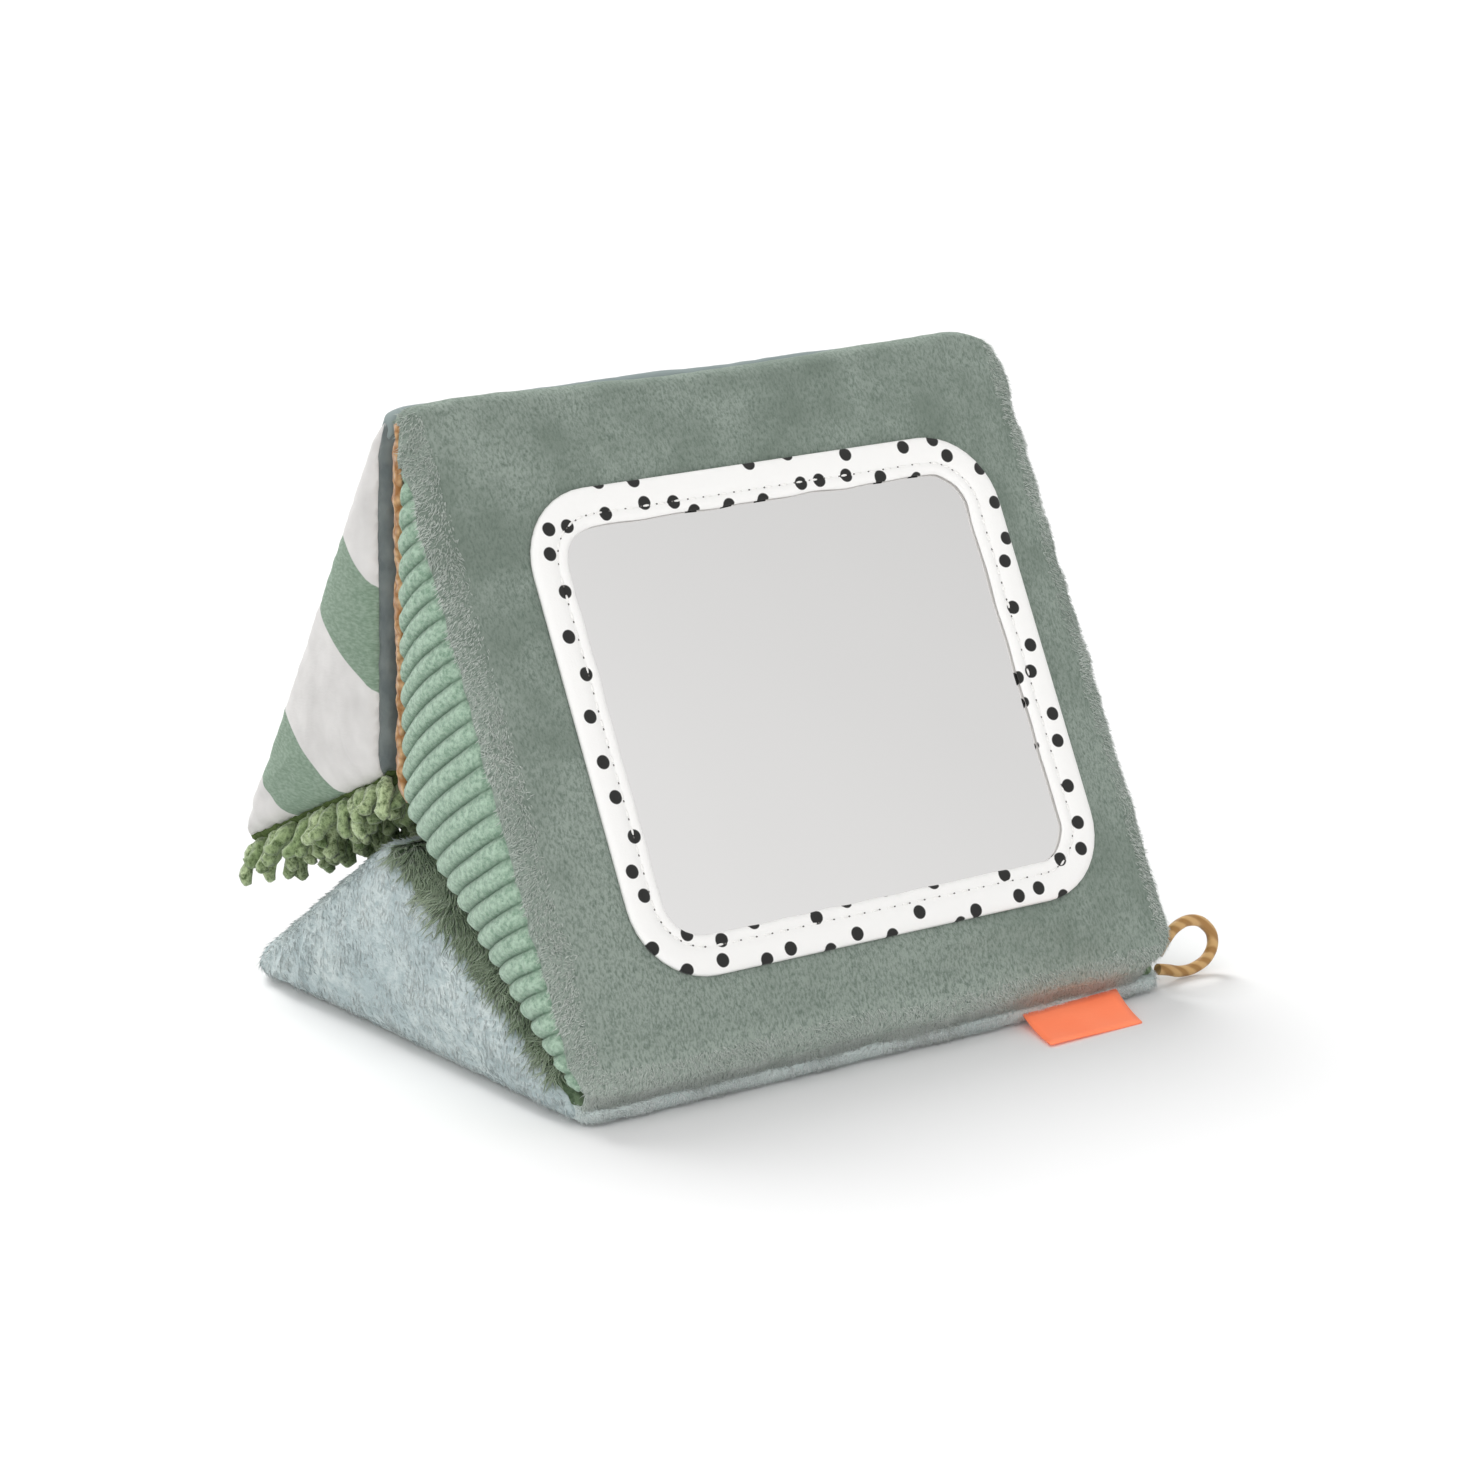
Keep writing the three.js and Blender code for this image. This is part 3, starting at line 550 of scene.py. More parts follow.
def cover_panel(name, cushion, kind, node, finish, thickness=skin, finer=0, texture=None):
    """One panel of a cover, turned into place and given the thickness of its cloth, inwards."""
    cover, panels = covers[cushion]
    bm = bmesh.new()
    bm.from_mesh(cover)
    bm.faces.ensure_lookup_table()
    kept = set(panels[kind])
    bmesh.ops.delete(bm, geom=[f for f in bm.faces if f.index not in kept], context="FACES")
    if finer:
        bmesh.ops.triangulate(bm, faces=[f for f in bm.faces if len(f.verts) > 4])
        bmesh.ops.subdivide_edges(bm, edges=bm.edges[:], cuts=finer, use_grid_fill=True)
    way = bm.verts.layers.float_vector["way"]
    if texture is not None:
        edge = {v for e in bm.edges if e.is_boundary for v in e.verts}
        for vertex in [v for v in bm.verts if v not in edge]:
            vertex.co += Vector(vertex[way]).normalized() * texture(vertex.co) * mm
    thickened(bm, thickness)
    bm.verts.layers.float_vector.remove(bm.verts.layers.float_vector["carried"])
    bmesh.ops.transform(bm, matrix=cushion_frame(*cushions[cushion][2]), verts=bm.verts[:])
    panel = new_object(name, mesh_from(bm, name), finish, cushion + "_cushion")
    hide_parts(node)
    return panel


# Faces of short plush: knitted polyester with a velvety pile, brushed in patches where it has been handled.
# The sage one has painted light: it is paler towards the floor, as if the white floor lit its tips, and paler
# still near its bottom edge.
def short_plush(name, low, high, deep, period=26, nap=(1, 1, 1), pile=0.9, floor_light_paling=0.0, floor_light_tone=None):
    m, shader = material(name, low, 0.95, sheen=0.5)
    fill(m, shader, {"Sheen Tint": high})
    at = add(m, "TexCoord", {}, "Object")
    height = add(m, "VectorMath", {"operation": "DOT_PRODUCT", 1: (0.45, 0, 1), 0: at}, "Value")
    # Painted floor light: the colour turns paler towards the floor, added to the brushed patches.
    painted_floor_light = add(m, "MapRange", {
        "Value": height, "From Min": -25 * mm, "From Max": 70 * mm, "To Min": floor_light_paling, "To Max": 0.0,
    })
    brushed_and_floor_lit = add(m, "Math", {
        "operation": "ADD",
        0: add(m, "TexNoise", {"Vector": at, "Scale": 1 / (period * mm), "Detail": 3, "Roughness": 0.6}),
        1: painted_floor_light,
    })
    combed = add(m, "Mapping", {"Scale": nap, "Vector": at})
    grain = add(m, "TexNoise", {
        "Vector": combed, "Scale": 1 / (pile * 2.0 * mm), "Detail": 4, "Roughness": 0.75,
    })
    patches = toned(m, brushed_and_floor_lit, 0.36, 0.64, low, high)
    # Painted floor light near the bottom edge: the colour is mixed towards a pale tone there.
    if floor_light_tone is not None:
        rising = add(m, "SeparateXYZ", {"Vector": at}, "Z")
        patches = add(m, "Mix", {
            "data_type": "RGBA",
            0: add(m, "MapRange", {
                "Value": rising, "From Min": 2 * mm, "From Max": 20 * mm, "To Min": 0.85, "To Max": 0.0,
            }),
            6: patches, 7: floor_light_tone,
        }, 2)
    fill(m, shader, {
        "Base Color": toned(m, grain, 0.34, 0.56, deep, patches),
        "Normal": add(m, "Bump", {"Height": grain, "Distance": pile * 0.8 * mm, "Strength": 0.9}),
    })
    return m


# The sage plush carries painted floor light: paler low down, and a pale tone along its bottom edge.
sage_plush = short_plush(
    "sage plush", "#79857b", "#949f96", "#637167", nap=(1, 0.5, 0.5), pile=0.34, floor_light_paling=0.36, floor_light_tone="#c6d0c8",
)
sage_face = cover_panel("sage_face", "front", 0, "front_face_panel", sage_plush)

mint_plush = short_plush("mint plush", "#97b09b", "#abc5af", "#829d87", 14)
cover_panel("mint_inner_face", "front", 1, "front_lower_inner_panel", mint_plush)


# Boucle face: the front cushion's upper inner face, sewn in along the ridge, whose edge stands out at the end.
# Boucle yarn is knitted into matt orange loops about 2 mm across; the brown between them is painted shade.
boucle, shader = material("orange boucle", "#d9a86e", 0.95, sheen=0.3)
at = add(boucle, "TexCoord", {}, "Object")
loops = add(boucle, "TexVoronoi", {"Vector": at, "Scale": 1 / (2.2 * mm)})
swell = add(boucle, "MapRange", {"Value": loops, "From Max": 0.7, "To Min": 1.0, "To Max": 0.0})
# Painted shade: the colour turns darker brown towards the edges of the loops, where they dip.
fill(boucle, shader, {
    "Base Color": toned(boucle, loops, 0.15, 0.75, "#d9b184", "#9c6c3f"),
    "Normal": add(boucle, "Bump", {"Height": swell, "Distance": 0.9 * mm, "Strength": 1.0}),
})


def looped(co):
    return 0.7 * noise.noise(co * 420) + (0.6 + 0.5 * noise.noise(co * 260)) * (abs(co.x) > 95 * mm)


cover_panel(
    "boucle_face", "front", 2, "front_upper_inner_panel", boucle, finer=1, texture=looped,
)


# Back cushion's faces: smooth slate cotton outside, grey satin towards the front cushion, striped cotton ends.
# The cotton is matt with soft creases. The satin has a low gloss and creases finely over its crinkle film.
def woven(name, low, high, period, roughness, sheen=0.1, creasing=22):
    """Plain-woven cloth: threads a period wide, and soft creases that catch the light."""
    m, shader = material(name, low, roughness, sheen=sheen)
    at = add(m, "TexCoord", {}, "Object")
    drawn = add(m, "Mapping", {"Vector": at, "Scale": (0.35, 1, 1)})
    threads = add(m, "TexNoise", {"Vector": drawn, "Scale": 1 / (period * 2 * mm)})
    folds = add(m, "TexNoise", {"Vector": at, "Scale": 1 / (creasing * mm)})
    height = add(m, "Math", {"operation": "MULTIPLY_ADD", 0: threads, 1: 0.12, 2: folds})
    fill(m, shader, {
        "Base Color": toned(m, folds, 0.35, 0.65, low, high),
        "Normal": add(m, "Bump", {"Height": height, "Distance": 1.2 * mm, "Strength": 0.5}),
    })
    return m


slate_cotton = woven("slate cotton", "#7d8a89", "#869291", 0.5, 0.8)
satin_grey = woven("grey satin", "#555e5e", "#69716f", 0.3, 0.4, creasing=7)
cover_panel("slate_outer_face", "back", 0, "back_face_panel", slate_cotton, thickness=1.2)
cover_panel("satin_face", "back", 1, "back_front_inner_panel", satin_grey, thickness=1.0)
noodle_backing = short_plush("noodle backing", "#46572f", "#5a6c3d", "#35431f", 8)
cover_panel("noodle_backing", "back", 2, "noodle_panel", noodle_backing)

# Printed cotton twill: green stripes on white that run straight out from the outer face, a little wavering.
stripe_period, stripe_start, stripe_width, stripe_blur, stripe_waver = 68.0, 37.5, 26.5, 0.15, 5.0
striped, shader = material("striped cotton", "#d8d6d4", 0.85, sheen=0.1)
at = add(striped, "TexCoord", {}, "Object")
ridge_y, ridge_z, lean = cushions["back"][2]
lean = math.radians(lean)
start = ridge_y * math.cos(lean) + ridge_z * math.sin(lean)
turned = add(striped, "Mapping", {"Vector": at, "Rotation": (-lean, 0, 0)})
waver = add(striped, "Math", {
    "operation": "MULTIPLY_ADD",
    0: add(striped, "TexNoise", {"Vector": at, "Scale": 1 / (40 * mm), "Detail": 1}),
    1: stripe_waver * mm, 2: -(stripe_waver / 2 + start + stripe_start + stripe_width / 2) * mm,
})
along = add(striped, "Math", {
    "operation": "ADD", 0: add(striped, "SeparateXYZ", {"Vector": turned}, "Y"), 1: waver,
})
phase = add(striped, "Math", {"operation": "PINGPONG", 0: along, 1: stripe_period / 2 * mm})
twill = add(striped, "Mapping", {"Vector": at, "Scale": (1, 1, 3)})
weave = add(striped, "TexNoise", {"Vector": twill, "Scale": 1 / (1.8 * mm)})
puckers = add(striped, "TexNoise", {"Vector": at, "Scale": 1 / (11 * mm)})
green = toned(striped, weave, 0.35, 0.65, "#718774", "#889b8a")
white = toned(striped, puckers, 0.3, 0.7, "#c9c7c5", "#d8d6d4")
height = add(striped, "Math", {"operation": "MULTIPLY_ADD", 0: weave, 1: 0.12, 2: puckers})
inside, outside = (stripe_width / 2 - stripe_blur) * mm, (stripe_width / 2 + stripe_blur) * mm
fill(striped, shader, {
    "Base Color": toned(striped, phase, inside, outside, green, white),
    "Normal": add(striped, "Bump", {"Height": height, "Distance": 1.4 * mm, "Strength": 0.55}),
})
for kind, side in ((3, "left"), (4, "right")):
    name = "striped_end_" + side
    cover_panel(name, "back", kind, "back_end_" + side, striped, thickness=1.0)


# Base cushion's faces: pale teal cotton underneath, wrapped up the front edge, the knitted backing of a long
# green pile in front, and soft blue-grey plush behind and on the ends, matt and brushed in patches.
teal_cotton = woven("teal cotton", "#bdc9c7", "#ced7d4", 0.5, 0.85)
teal_underside = cover_panel(
    "teal_underside", "base", 0, "base_underside_panel", teal_cotton, thickness=1.2,
)
blue_plush = short_plush("blue grey plush", "#adbbbd", "#c9d3d2", "#9cacae", 16, nap=(1, 0.45, 0.8), pile=1.0)
green_fur = short_plush("green fur backing", "#5b6e54", "#778a6e", "#3b4d36", 12, nap=(1, 0.5, 0.6), pile=1.5)
base_back = cover_panel("plush_inner_face", "base", 1, "base_back_inner_panel", blue_plush)
base_front = cover_panel("fur_inner_face", "base", 2, "base_front_inner_panel", green_fur)
base_ends = {
    hand: cover_panel("plush_end_" + side, "base", kind, "base_end_" + side, blue_plush, finer=1)
    for hand, kind, side in ((-1, 3, "left"), (1, 4, "right"))
}


# Ribbed ends: wide-rib plush. Its ribs run in from the mirror face, a little slanted towards the ridge, end in
# round lobes and are nubbly where the seam at the mirror face crushes them.
rib_count, rib_first, rib_pitch, rib_height = 30, -1.7, 5.78, 1.9
rib_columns, rib_rows = rib_count * 12, 60


def ribbed_end(name, node, hand):
    (far, far_out), (near, near_out), (inner, inner_out) = cushions["front"][0]
    far_slope = (inner_out - far_out) / (inner - far)
    boucle_wrap = cushions["front"][4][2] * math.hypot(1, far_slope)
    sage_wrap = cushions["front"][4][0]
    bm = bmesh.new()
    bmesh.ops.create_grid(bm, x_segments=rib_columns, y_segments=rib_rows, size=0.5)
    # A painted shade for the grooves between the ribs, kept for each vertex.
    painted_groove_shade = bm.verts.layers.float.new("painted_groove_shade")
    for vertex in bm.verts:
        share, across = vertex.co.x + 0.5, vertex.co.y + 0.5
        along = rib_first + share * (0.92 + 0.08 * share) * rib_count * rib_pitch
        lower = near_out + (inner_out - near_out) * (along - near) / (inner - near)
        upper = far_out + far_slope * (along - far) + boucle_wrap
        low = 2.4 * math.log(math.exp(lower / 2.4) + math.exp(upper / 2.4)) - 0.4
        high = max(far_out - sage_wrap + 0.2, low + 1.0)
        wide = high - low
        crest = abs(math.sin(math.pi * rib_count * share)) ** 0.6
        edge = min(1.0, across * wide / 4.5) ** 0.5 * min(1.0, (1 - across) * wide / 5.0) ** 0.5
        dome = 16 * end_crown * share * (1 - share) * across * (1 - across)
        wander = 0.5 * noise.noise(Vector((along * 0.05, across * 2.5, hand * 5.0)))
        crushed = math.exp(-(1 - across) * wide / 4)
        frayed = math.exp(-across * wide / 2.5)
        nub = (0.3 + 0.45 * crushed) * noise.noise(Vector((along * 0.8, across * wide * 0.8, hand * 3.0)))
        scallop = (1 - crest) * min(0.9, wide * 0.12)
        out = low + across * wide + scallop * (1 - across) ** 5
        out += 0.8 * (frayed + crushed) * noise.noise(Vector((along * 0.55, 8.0, hand * 4.0)))
        slant = 0.26 * share * (out - low) * (share < 0.98)
        x = 96.2 + edge * (1.9 + rib_height * crest * (1 - 0.4 * crushed)) + dome + nub * edge
        x *= corner_share("front", hand, along, -4.4, 183.4)
        # Painted shade: how dark the groove between the ribs is, and less where the seam crushes them.
        vertex[painted_groove_shade] = (1 - crest) ** 1.2 * (1 - 0.7 * crushed)
        vertex.co = (hand * x * mm, (along + slant + wander) * mm, out * mm)
    bmesh.ops.transform(bm, matrix=cushion_frame(*cushions["front"][2]), verts=bm.verts[:])
    turn_faces(bm, (hand, 0, 0))
    thickened(bm, 1.2)
    panel = new_object(name, mesh_from(bm, name), mint_rib, "front_cushion")
    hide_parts(node)


# Wide-rib plush: looped terry, matt and speckled, with painted shade darkening the grooves between its ribs.
mint_rib, shader = material("mint rib plush", "#9ab49f", 0.95, sheen=0.3)
at = add(mint_rib, "TexCoord", {}, "Object")
terry = add(mint_rib, "TexNoise", {"Vector": at, "Scale": 1 / (1.5 * mm), "Detail": 4, "Roughness": 0.75})
groove_shade_mask = add(mint_rib, "Attribute", {"attribute_name": "painted_groove_shade"}, "Fac")
crests = toned(mint_rib, terry, 0.36, 0.6, "#7f9d87", "#b4ceb9")
# The grooves are mixed towards a dark green: painted shade.
fill(mint_rib, shader, {
    "Base Color": toned(mint_rib, groove_shade_mask, 0.0, 1.0, crests, "#587660"),
    "Normal": add(mint_rib, "Bump", {"Height": terry, "Distance": 0.9 * mm, "Strength": 0.9}),
})
ribbed_end("ribbed_end_left", "front_end_left", -1)
ribbed_end("ribbed_end_right", "front_end_right", 1)


# Mirror window: a flexible mirror sheet on a stiff board, held under a band of dotted cotton that is
# folded in at its inner edge and sewn down with white thread; grey marks are painted shade in its needle holes.
front_matrix = cushion_frame(*cushions["front"][2])


def rounded_outline(width, height, corner, steps):
    """Points round a rectangle with round corners, anticlockwise, each with its way out."""
    points = []
    for cx, cy, start in ((1, 1, 0), (-1, 1, 90), (-1, -1, 180), (1, -1, 270)):
        for k in range(steps + 1):
            angle = math.radians(start + 90 * k / steps)
            way = Vector((math.cos(angle), math.sin(angle)))
            centre = Vector((cx * (width / 2 - corner), cy * (height / 2 - corner)))
            points.append((centre + way * corner, way))
    dense = []
    for (p, w), (q, v) in zip(points, points[1:] + points[:1]):
        count = max(1, round((q - p).length / 2.5))
        dense += [(p.lerp(q, k / count), w.lerp(v, k / count).normalized()) for k in range(count)]
    return dense


outline = rounded_outline(frame_size[0], frame_size[1], frame_corner, 10)
band_profile = [  # share of the band inwards from its outer edge, height over the seat in millimetres
    (0.0, 0.1), (0.015, 0.8), (0.05, 1.2), (0.2, 1.45), (0.45, 1.45), (0.66, 1.25), (0.7, 0.95), (0.74, 1.25),
    (0.86, 1.35), (0.96, 1.15), (1.0, 0.6), (0.99, 0.15),
]
bm = bmesh.new()
rings = []
for share, height in band_profile:
    ring = []
    for k, (p, way) in enumerate(outline):
        pucker = 0.5 * share * noise.noise(Vector((p.x * 0.09, p.y * 0.09, 2.0)))
        lift = 0.16 * noise.noise(Vector((p.x * 0.25, p.y * 0.25, share * 3)))
        q = p - way * (share * frame_band + pucker)
        ring.append(bm.verts.new((
            (q.x + mirror_middle[0]) * mm, (q.y + mirror_middle[1]) * mm, (7.7 + height + lift * share) * mm,
        )))
    rings.append([bm.edges.new((a, b)) for a, b in zip(ring, ring[1:] + ring[:1])])
for first, second in zip(rings, rings[1:]):
    bmesh.ops.bridge_loops(bm, edges=first + second)
bmesh.ops.bridge_loops(bm, edges=rings[-1] + rings[0])
bmesh.ops.transform(bm, matrix=front_matrix, verts=bm.verts[:])
bmesh.ops.recalc_face_normals(bm, faces=bm.faces[:])
# Printed cotton: white, with black dots scattered one to a cell of a loose grid.
dot_spacing, dot_share, dot_blur_share = 10.4, 0.188, 0.01
dotted, shader = material("dotted cotton", "#efeeeb", 0.85, sheen=0.1)
at = add(dotted, "TexCoord", {}, "Object")
flat = add(dotted, "Mapping", {"Vector": at, "Rotation": (math.radians(-cushions["front"][2][2]), 0, 0)})
cells = add(dotted, "TexVoronoi", {
    "voronoi_dimensions": "2D", "Vector": flat, "Scale": 1 / (dot_spacing * mm), "Randomness": 0.62,
})
threads = add(dotted, "TexNoise", {"Vector": at, "Scale": 1 / (0.7 * mm)})
fill(dotted, shader, {
    "Base Color": toned(
        dotted, cells, dot_share - dot_blur_share, dot_share + dot_blur_share, "#2b2b2a", "#f9f8f6",
    ),
    "Normal": add(dotted, "Bump", {"Height": threads, "Distance": 0.12 * mm, "Strength": 0.5}),
})
band = new_object("dotted_band", mesh_from(bm, "dotted_band"), dotted, "front_cushion")
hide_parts("mirror_frame")

stitch_inset, stitch_spacing, stitch_height = 7.7, 3.2, 8.75
thread_white, shader = material("white thread", "#f6f5f2", 0.7)
bm = bmesh.new()
inner_size = [size - 2 * stitch_inset for size in frame_size]
stitch_line = rounded_outline(*inner_size, frame_corner - stitch_inset, 6)
holes = bmesh.new()
walked, next_stitch = 0.0, 0.0
for (p, w), (q, v) in zip(stitch_line, stitch_line[1:] + stitch_line[:1]):
    walked += (q - p).length
    if walked < next_stitch:
        continue
    next_stitch = walked + stitch_spacing
    along = (q - p).normalized()
    turn = Matrix.Rotation(math.atan2(along.y, along.x), 4, "Z")
    for target, offset, size in ((bm, 0.0, (1.15, 0.4, 0.34)), (holes, stitch_spacing / 2, (0.36, 0.3, 0.12))):
        made = bmesh.ops.create_uvsphere(target, u_segments=6, v_segments=4, radius=1.0)
        spot = p + along * offset + Vector(mirror_middle)
        form = Matrix.Translation((*spot, stitch_height)) @ turn @ Matrix.Diagonal((*size, 1))
        bmesh.ops.transform(target, verts=made["verts"], matrix=Matrix.Scale(mm, 4) @ form)
# Painted shade: small grey marks between the stitches stand for the shade in the needle holes.
needle_hole_shade, shader = material("needle holes", "#6d6b68", 0.9)
for name, form, finish in (("band_stitches", bm, thread_white), ("band_needle_hole_shade", holes, needle_hole_shade)):
    bmesh.ops.transform(form, matrix=front_matrix, verts=form.verts[:])
    new_object(name, mesh_from(form, name), finish, "front_cushion")

# Metallised polyester film: a bright mirror that waves very slightly, as a thin sheet does.
mirror_film, shader = material("mirror film", "#e7e6e5", 0.06, metallic=1.0)
waves = add(mirror_film, "TexNoise", {
    "Vector": add(mirror_film, "TexCoord", {}, "Object"), "Scale": 1 / (60 * mm), "Detail": 1,
})
fill(mirror_film, shader, {
    "Normal": add(mirror_film, "Bump", {"Height": waves, "Distance": 0.6 * mm, "Strength": 0.25}),
})
# Felt board and crinkle film: stiff grey felt with short fibres, and thin clear-coated plastic film in small
# sharp creases. Both are hidden inside.
board, shader = material("felt board", "#b9b9b4", 0.9)
at = add(board, "TexCoord", {}, "Object")
fibres = add(board, "TexNoise", {"Vector": at, "Scale": 1 / (1.2 * mm), "Detail": 3})
fill(board, shader, {"Base Color": toned(board, fibres, 0.0, 1.0, "#a9a9a4", "#c6c6c1")})
film, shader = material("crinkle film", "#cfd6d8", 0.25)
at = add(film, "TexCoord", {}, "Object")
creasing = add(film, "TexNoise", {"Vector": at, "Scale": 1 / (5 * mm), "Detail": 3})
fill(film, shader, {"Normal": add(film, "Bump", {"Height": creasing, "Distance": 0.8 * mm, "Strength": 1.0})})
for node, finish in (("mirror_sheet", mirror_film), ("mirror_backing", board), ("crinkle_film", film)):
    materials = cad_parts[node].data.materials
    materials.clear()
    materials.append(finish)


# Noodles: short chenille strands that hang thickly from the back cushion's lower face. Each is tufted to the
# backing at one end, hangs its own way and stops short of the base cushion.
def repeated(name, seeds, places, finish, body):
    """One mesh of many copies: seeds are meshes, places are (seed index, matrix, tone)."""
    verts, faces, tones, count = [], [], [], 0
    arrays = [(positions(s), [tuple(f.vertices) for f in s.polygons]) for s in seeds]
    for which, matrix, tone in places:
        co, polys = arrays[which]
        m = np.array(matrix)
        verts.append(co @ m[:3, :3].T + m[:3, 3])
        faces += [tuple(i + count for i in f) for f in polys]
        tones.append(np.full(len(co), tone))
        count += len(co)
    mesh = bpy.data.meshes.new(name)
    mesh.from_pydata(np.vstack(verts).tolist(), [], faces)
    mesh.attributes.new("tone", "FLOAT", "POINT").data.foreach_set("value", np.concatenate(tones))
    return new_object(name, mesh, finish, body)


chance = np.random.default_rng(7)
strands, strand_kinds, strand_size, strand_length = [], 10, 16.0, 13.5
for k in range(strand_kinds):
    bm = bmesh.new()
    bmesh.ops.create_uvsphere(bm, u_segments=6, v_segments=9, radius=1.0)
    curl = chance.uniform(-1, 1, 2)
    for vertex in bm.verts:
        t = (1 - vertex.co.z) / 2
        ring = round(t * 9)
        girth = (2.3 + 0.4 * (-1) ** ring) * math.sqrt(max(0.0, 1 - (2 * t - 1) ** 6))
        flatness = math.hypot(vertex.co.x, vertex.co.y)
        lump = 1 + 0.35 * noise.noise(Vector((vertex.co.x * 2, vertex.co.y * 2, t * 7 + k * 7)))
        scale = girth * lump / flatness if flatness > 0.01 else 0
        sway = 3.5 * t * t
        vertex.co = (
            vertex.co.x * scale + curl[0] * sway, vertex.co.y * scale + curl[1] * sway, -t * strand_size,
        )
    bmesh.ops.scale(bm, vec=(mm, mm, mm), verts=bm.verts[:])
    strands.append(mesh_from(bm, "strand"))

# Chenille: fluffy matt yarn, each strand of its own green, with painted shade darkening it between the tufts.
noodle_green, shader = material("green chenille", "#5c7040", 0.95, sheen=0.3)
at = add(noodle_green, "TexCoord", {}, "Object")
fuzz = add(noodle_green, "TexNoise", {"Vector": at, "Scale": 1 / (1.8 * mm), "Detail": 3, "Roughness": 0.7})
tone = add(noodle_green, "Attribute", {"attribute_name": "tone"}, "Fac")
shade = toned(noodle_green, tone, 0.0, 1.0, "#849a69", "#c0d0a3")
fill(noodle_green, shader, {
    "Base Color": toned(noodle_green, fuzz, 0.34, 0.58, "#53663e", shade),
    "Normal": add(noodle_green, "Bump", {"Height": fuzz, "Distance": 1.0 * mm, "Strength": 1.0}),
})

# Rows of strands from the cushion's inner corner to its far one. The base cushion's back face stops them.
columns, rows, column_spacing, row_spacing = 27, 14, 7.3, 6.7
back_matrix = cushion_frame(*cushions["back"][2])
far_corner, inner_corner = [Vector((0, *cushions["back"][0][k])) for k in (0, 2)]
side_way = (far_corner - inner_corner).normalized()
side_out = back_matrix.to_3x3() @ Vector((0, -side_way.z, side_way.y)) * -1
plush_plane = Vector((0, 9.83, 56.6)) * mm
plush_way = Vector((0, 0.530, 0.848))
places = []
for i in range(columns):
    for j in range(rows):
        along = 5 + j * row_spacing + chance.uniform(-1.2, 1.2)
        x = (i - columns // 2) * column_spacing + chance.uniform(-1.5, 1.5)
        root = back_matrix @ ((inner_corner + side_way * along + Vector((x, 0, 0))) * mm)
        end_lean = 0.75 * np.sign(x) * max(0.0, (abs(x) - 76) / 18)
        tip_lean = 0.3 * max(0.0, (j - 9) / 4)
        way = (side_out + Vector((
            end_lean + chance.uniform(-0.22, 0.22), tip_lean + chance.uniform(-0.2, 0.2), 0,
        ))).normalized()
        room = ((root - plush_plane).dot(plush_way) / mm - 3.5) / max(0.4, -way.dot(plush_way))
        length = min(strand_length * chance.uniform(0.85, 1.1), room)
        turn = way.to_track_quat("-Z", "Y").to_matrix().to_4x4()
        spin = Matrix.Rotation(chance.uniform(0, math.tau), 4, "Z")
        size = Matrix.Diagonal((1, 1, length / strand_size, 1))
        root += side_out * -1.0 * mm
        form = Matrix.Translation(root) @ turn @ spin @ size
        places.append((int(chance.integers(0, strand_kinds)), form, chance.uniform(0, 1)))
repeated("noodles", strands, places, noodle_green, "back_cushion")


# Pile: the long hairs of the green fur, those of the blue-grey plush, combed down and back, and the short
# ones that blur the edges of the sage plush and of the teal cotton. Real hairs are far finer and closer:
# these are as coarse as they need to be to show.
def blade(width, length, bend):
    bm = bmesh.new()
    bmesh.ops.create_cone(bm, segments=3, radius1=width * mm, radius2=0.6 * width * mm, depth=length / 2 * mm)
    bmesh.ops.translate(bm, verts=bm.verts[:], vec=(0, 0, length / 4 * mm))
    rim = [e for e in bm.edges if min(v.co.z for v in e.verts) > 0.4 * length * mm]
    tip = bmesh.ops.extrude_edge_only(bm, edges=rim)
    tips = vertices_in(tip)
    bmesh.ops.translate(bm, verts=tips, vec=(0, 0, length / 2 * mm))
    bmesh.ops.pointmerge(bm, verts=tips, merge_co=(0, 0, length * mm))
    bmesh.ops.holes_fill(bm, edges=[e for e in bm.edges if e.is_boundary])
    for vertex in bm.verts:
        t = vertex.co.z / (length * mm)
        vertex.co.x += bend * t * t * mm
        vertex.co.y *= 0.4
    bmesh.ops.recalc_face_normals(bm, faces=bm.faces[:])
    return mesh_from(bm, "blade")


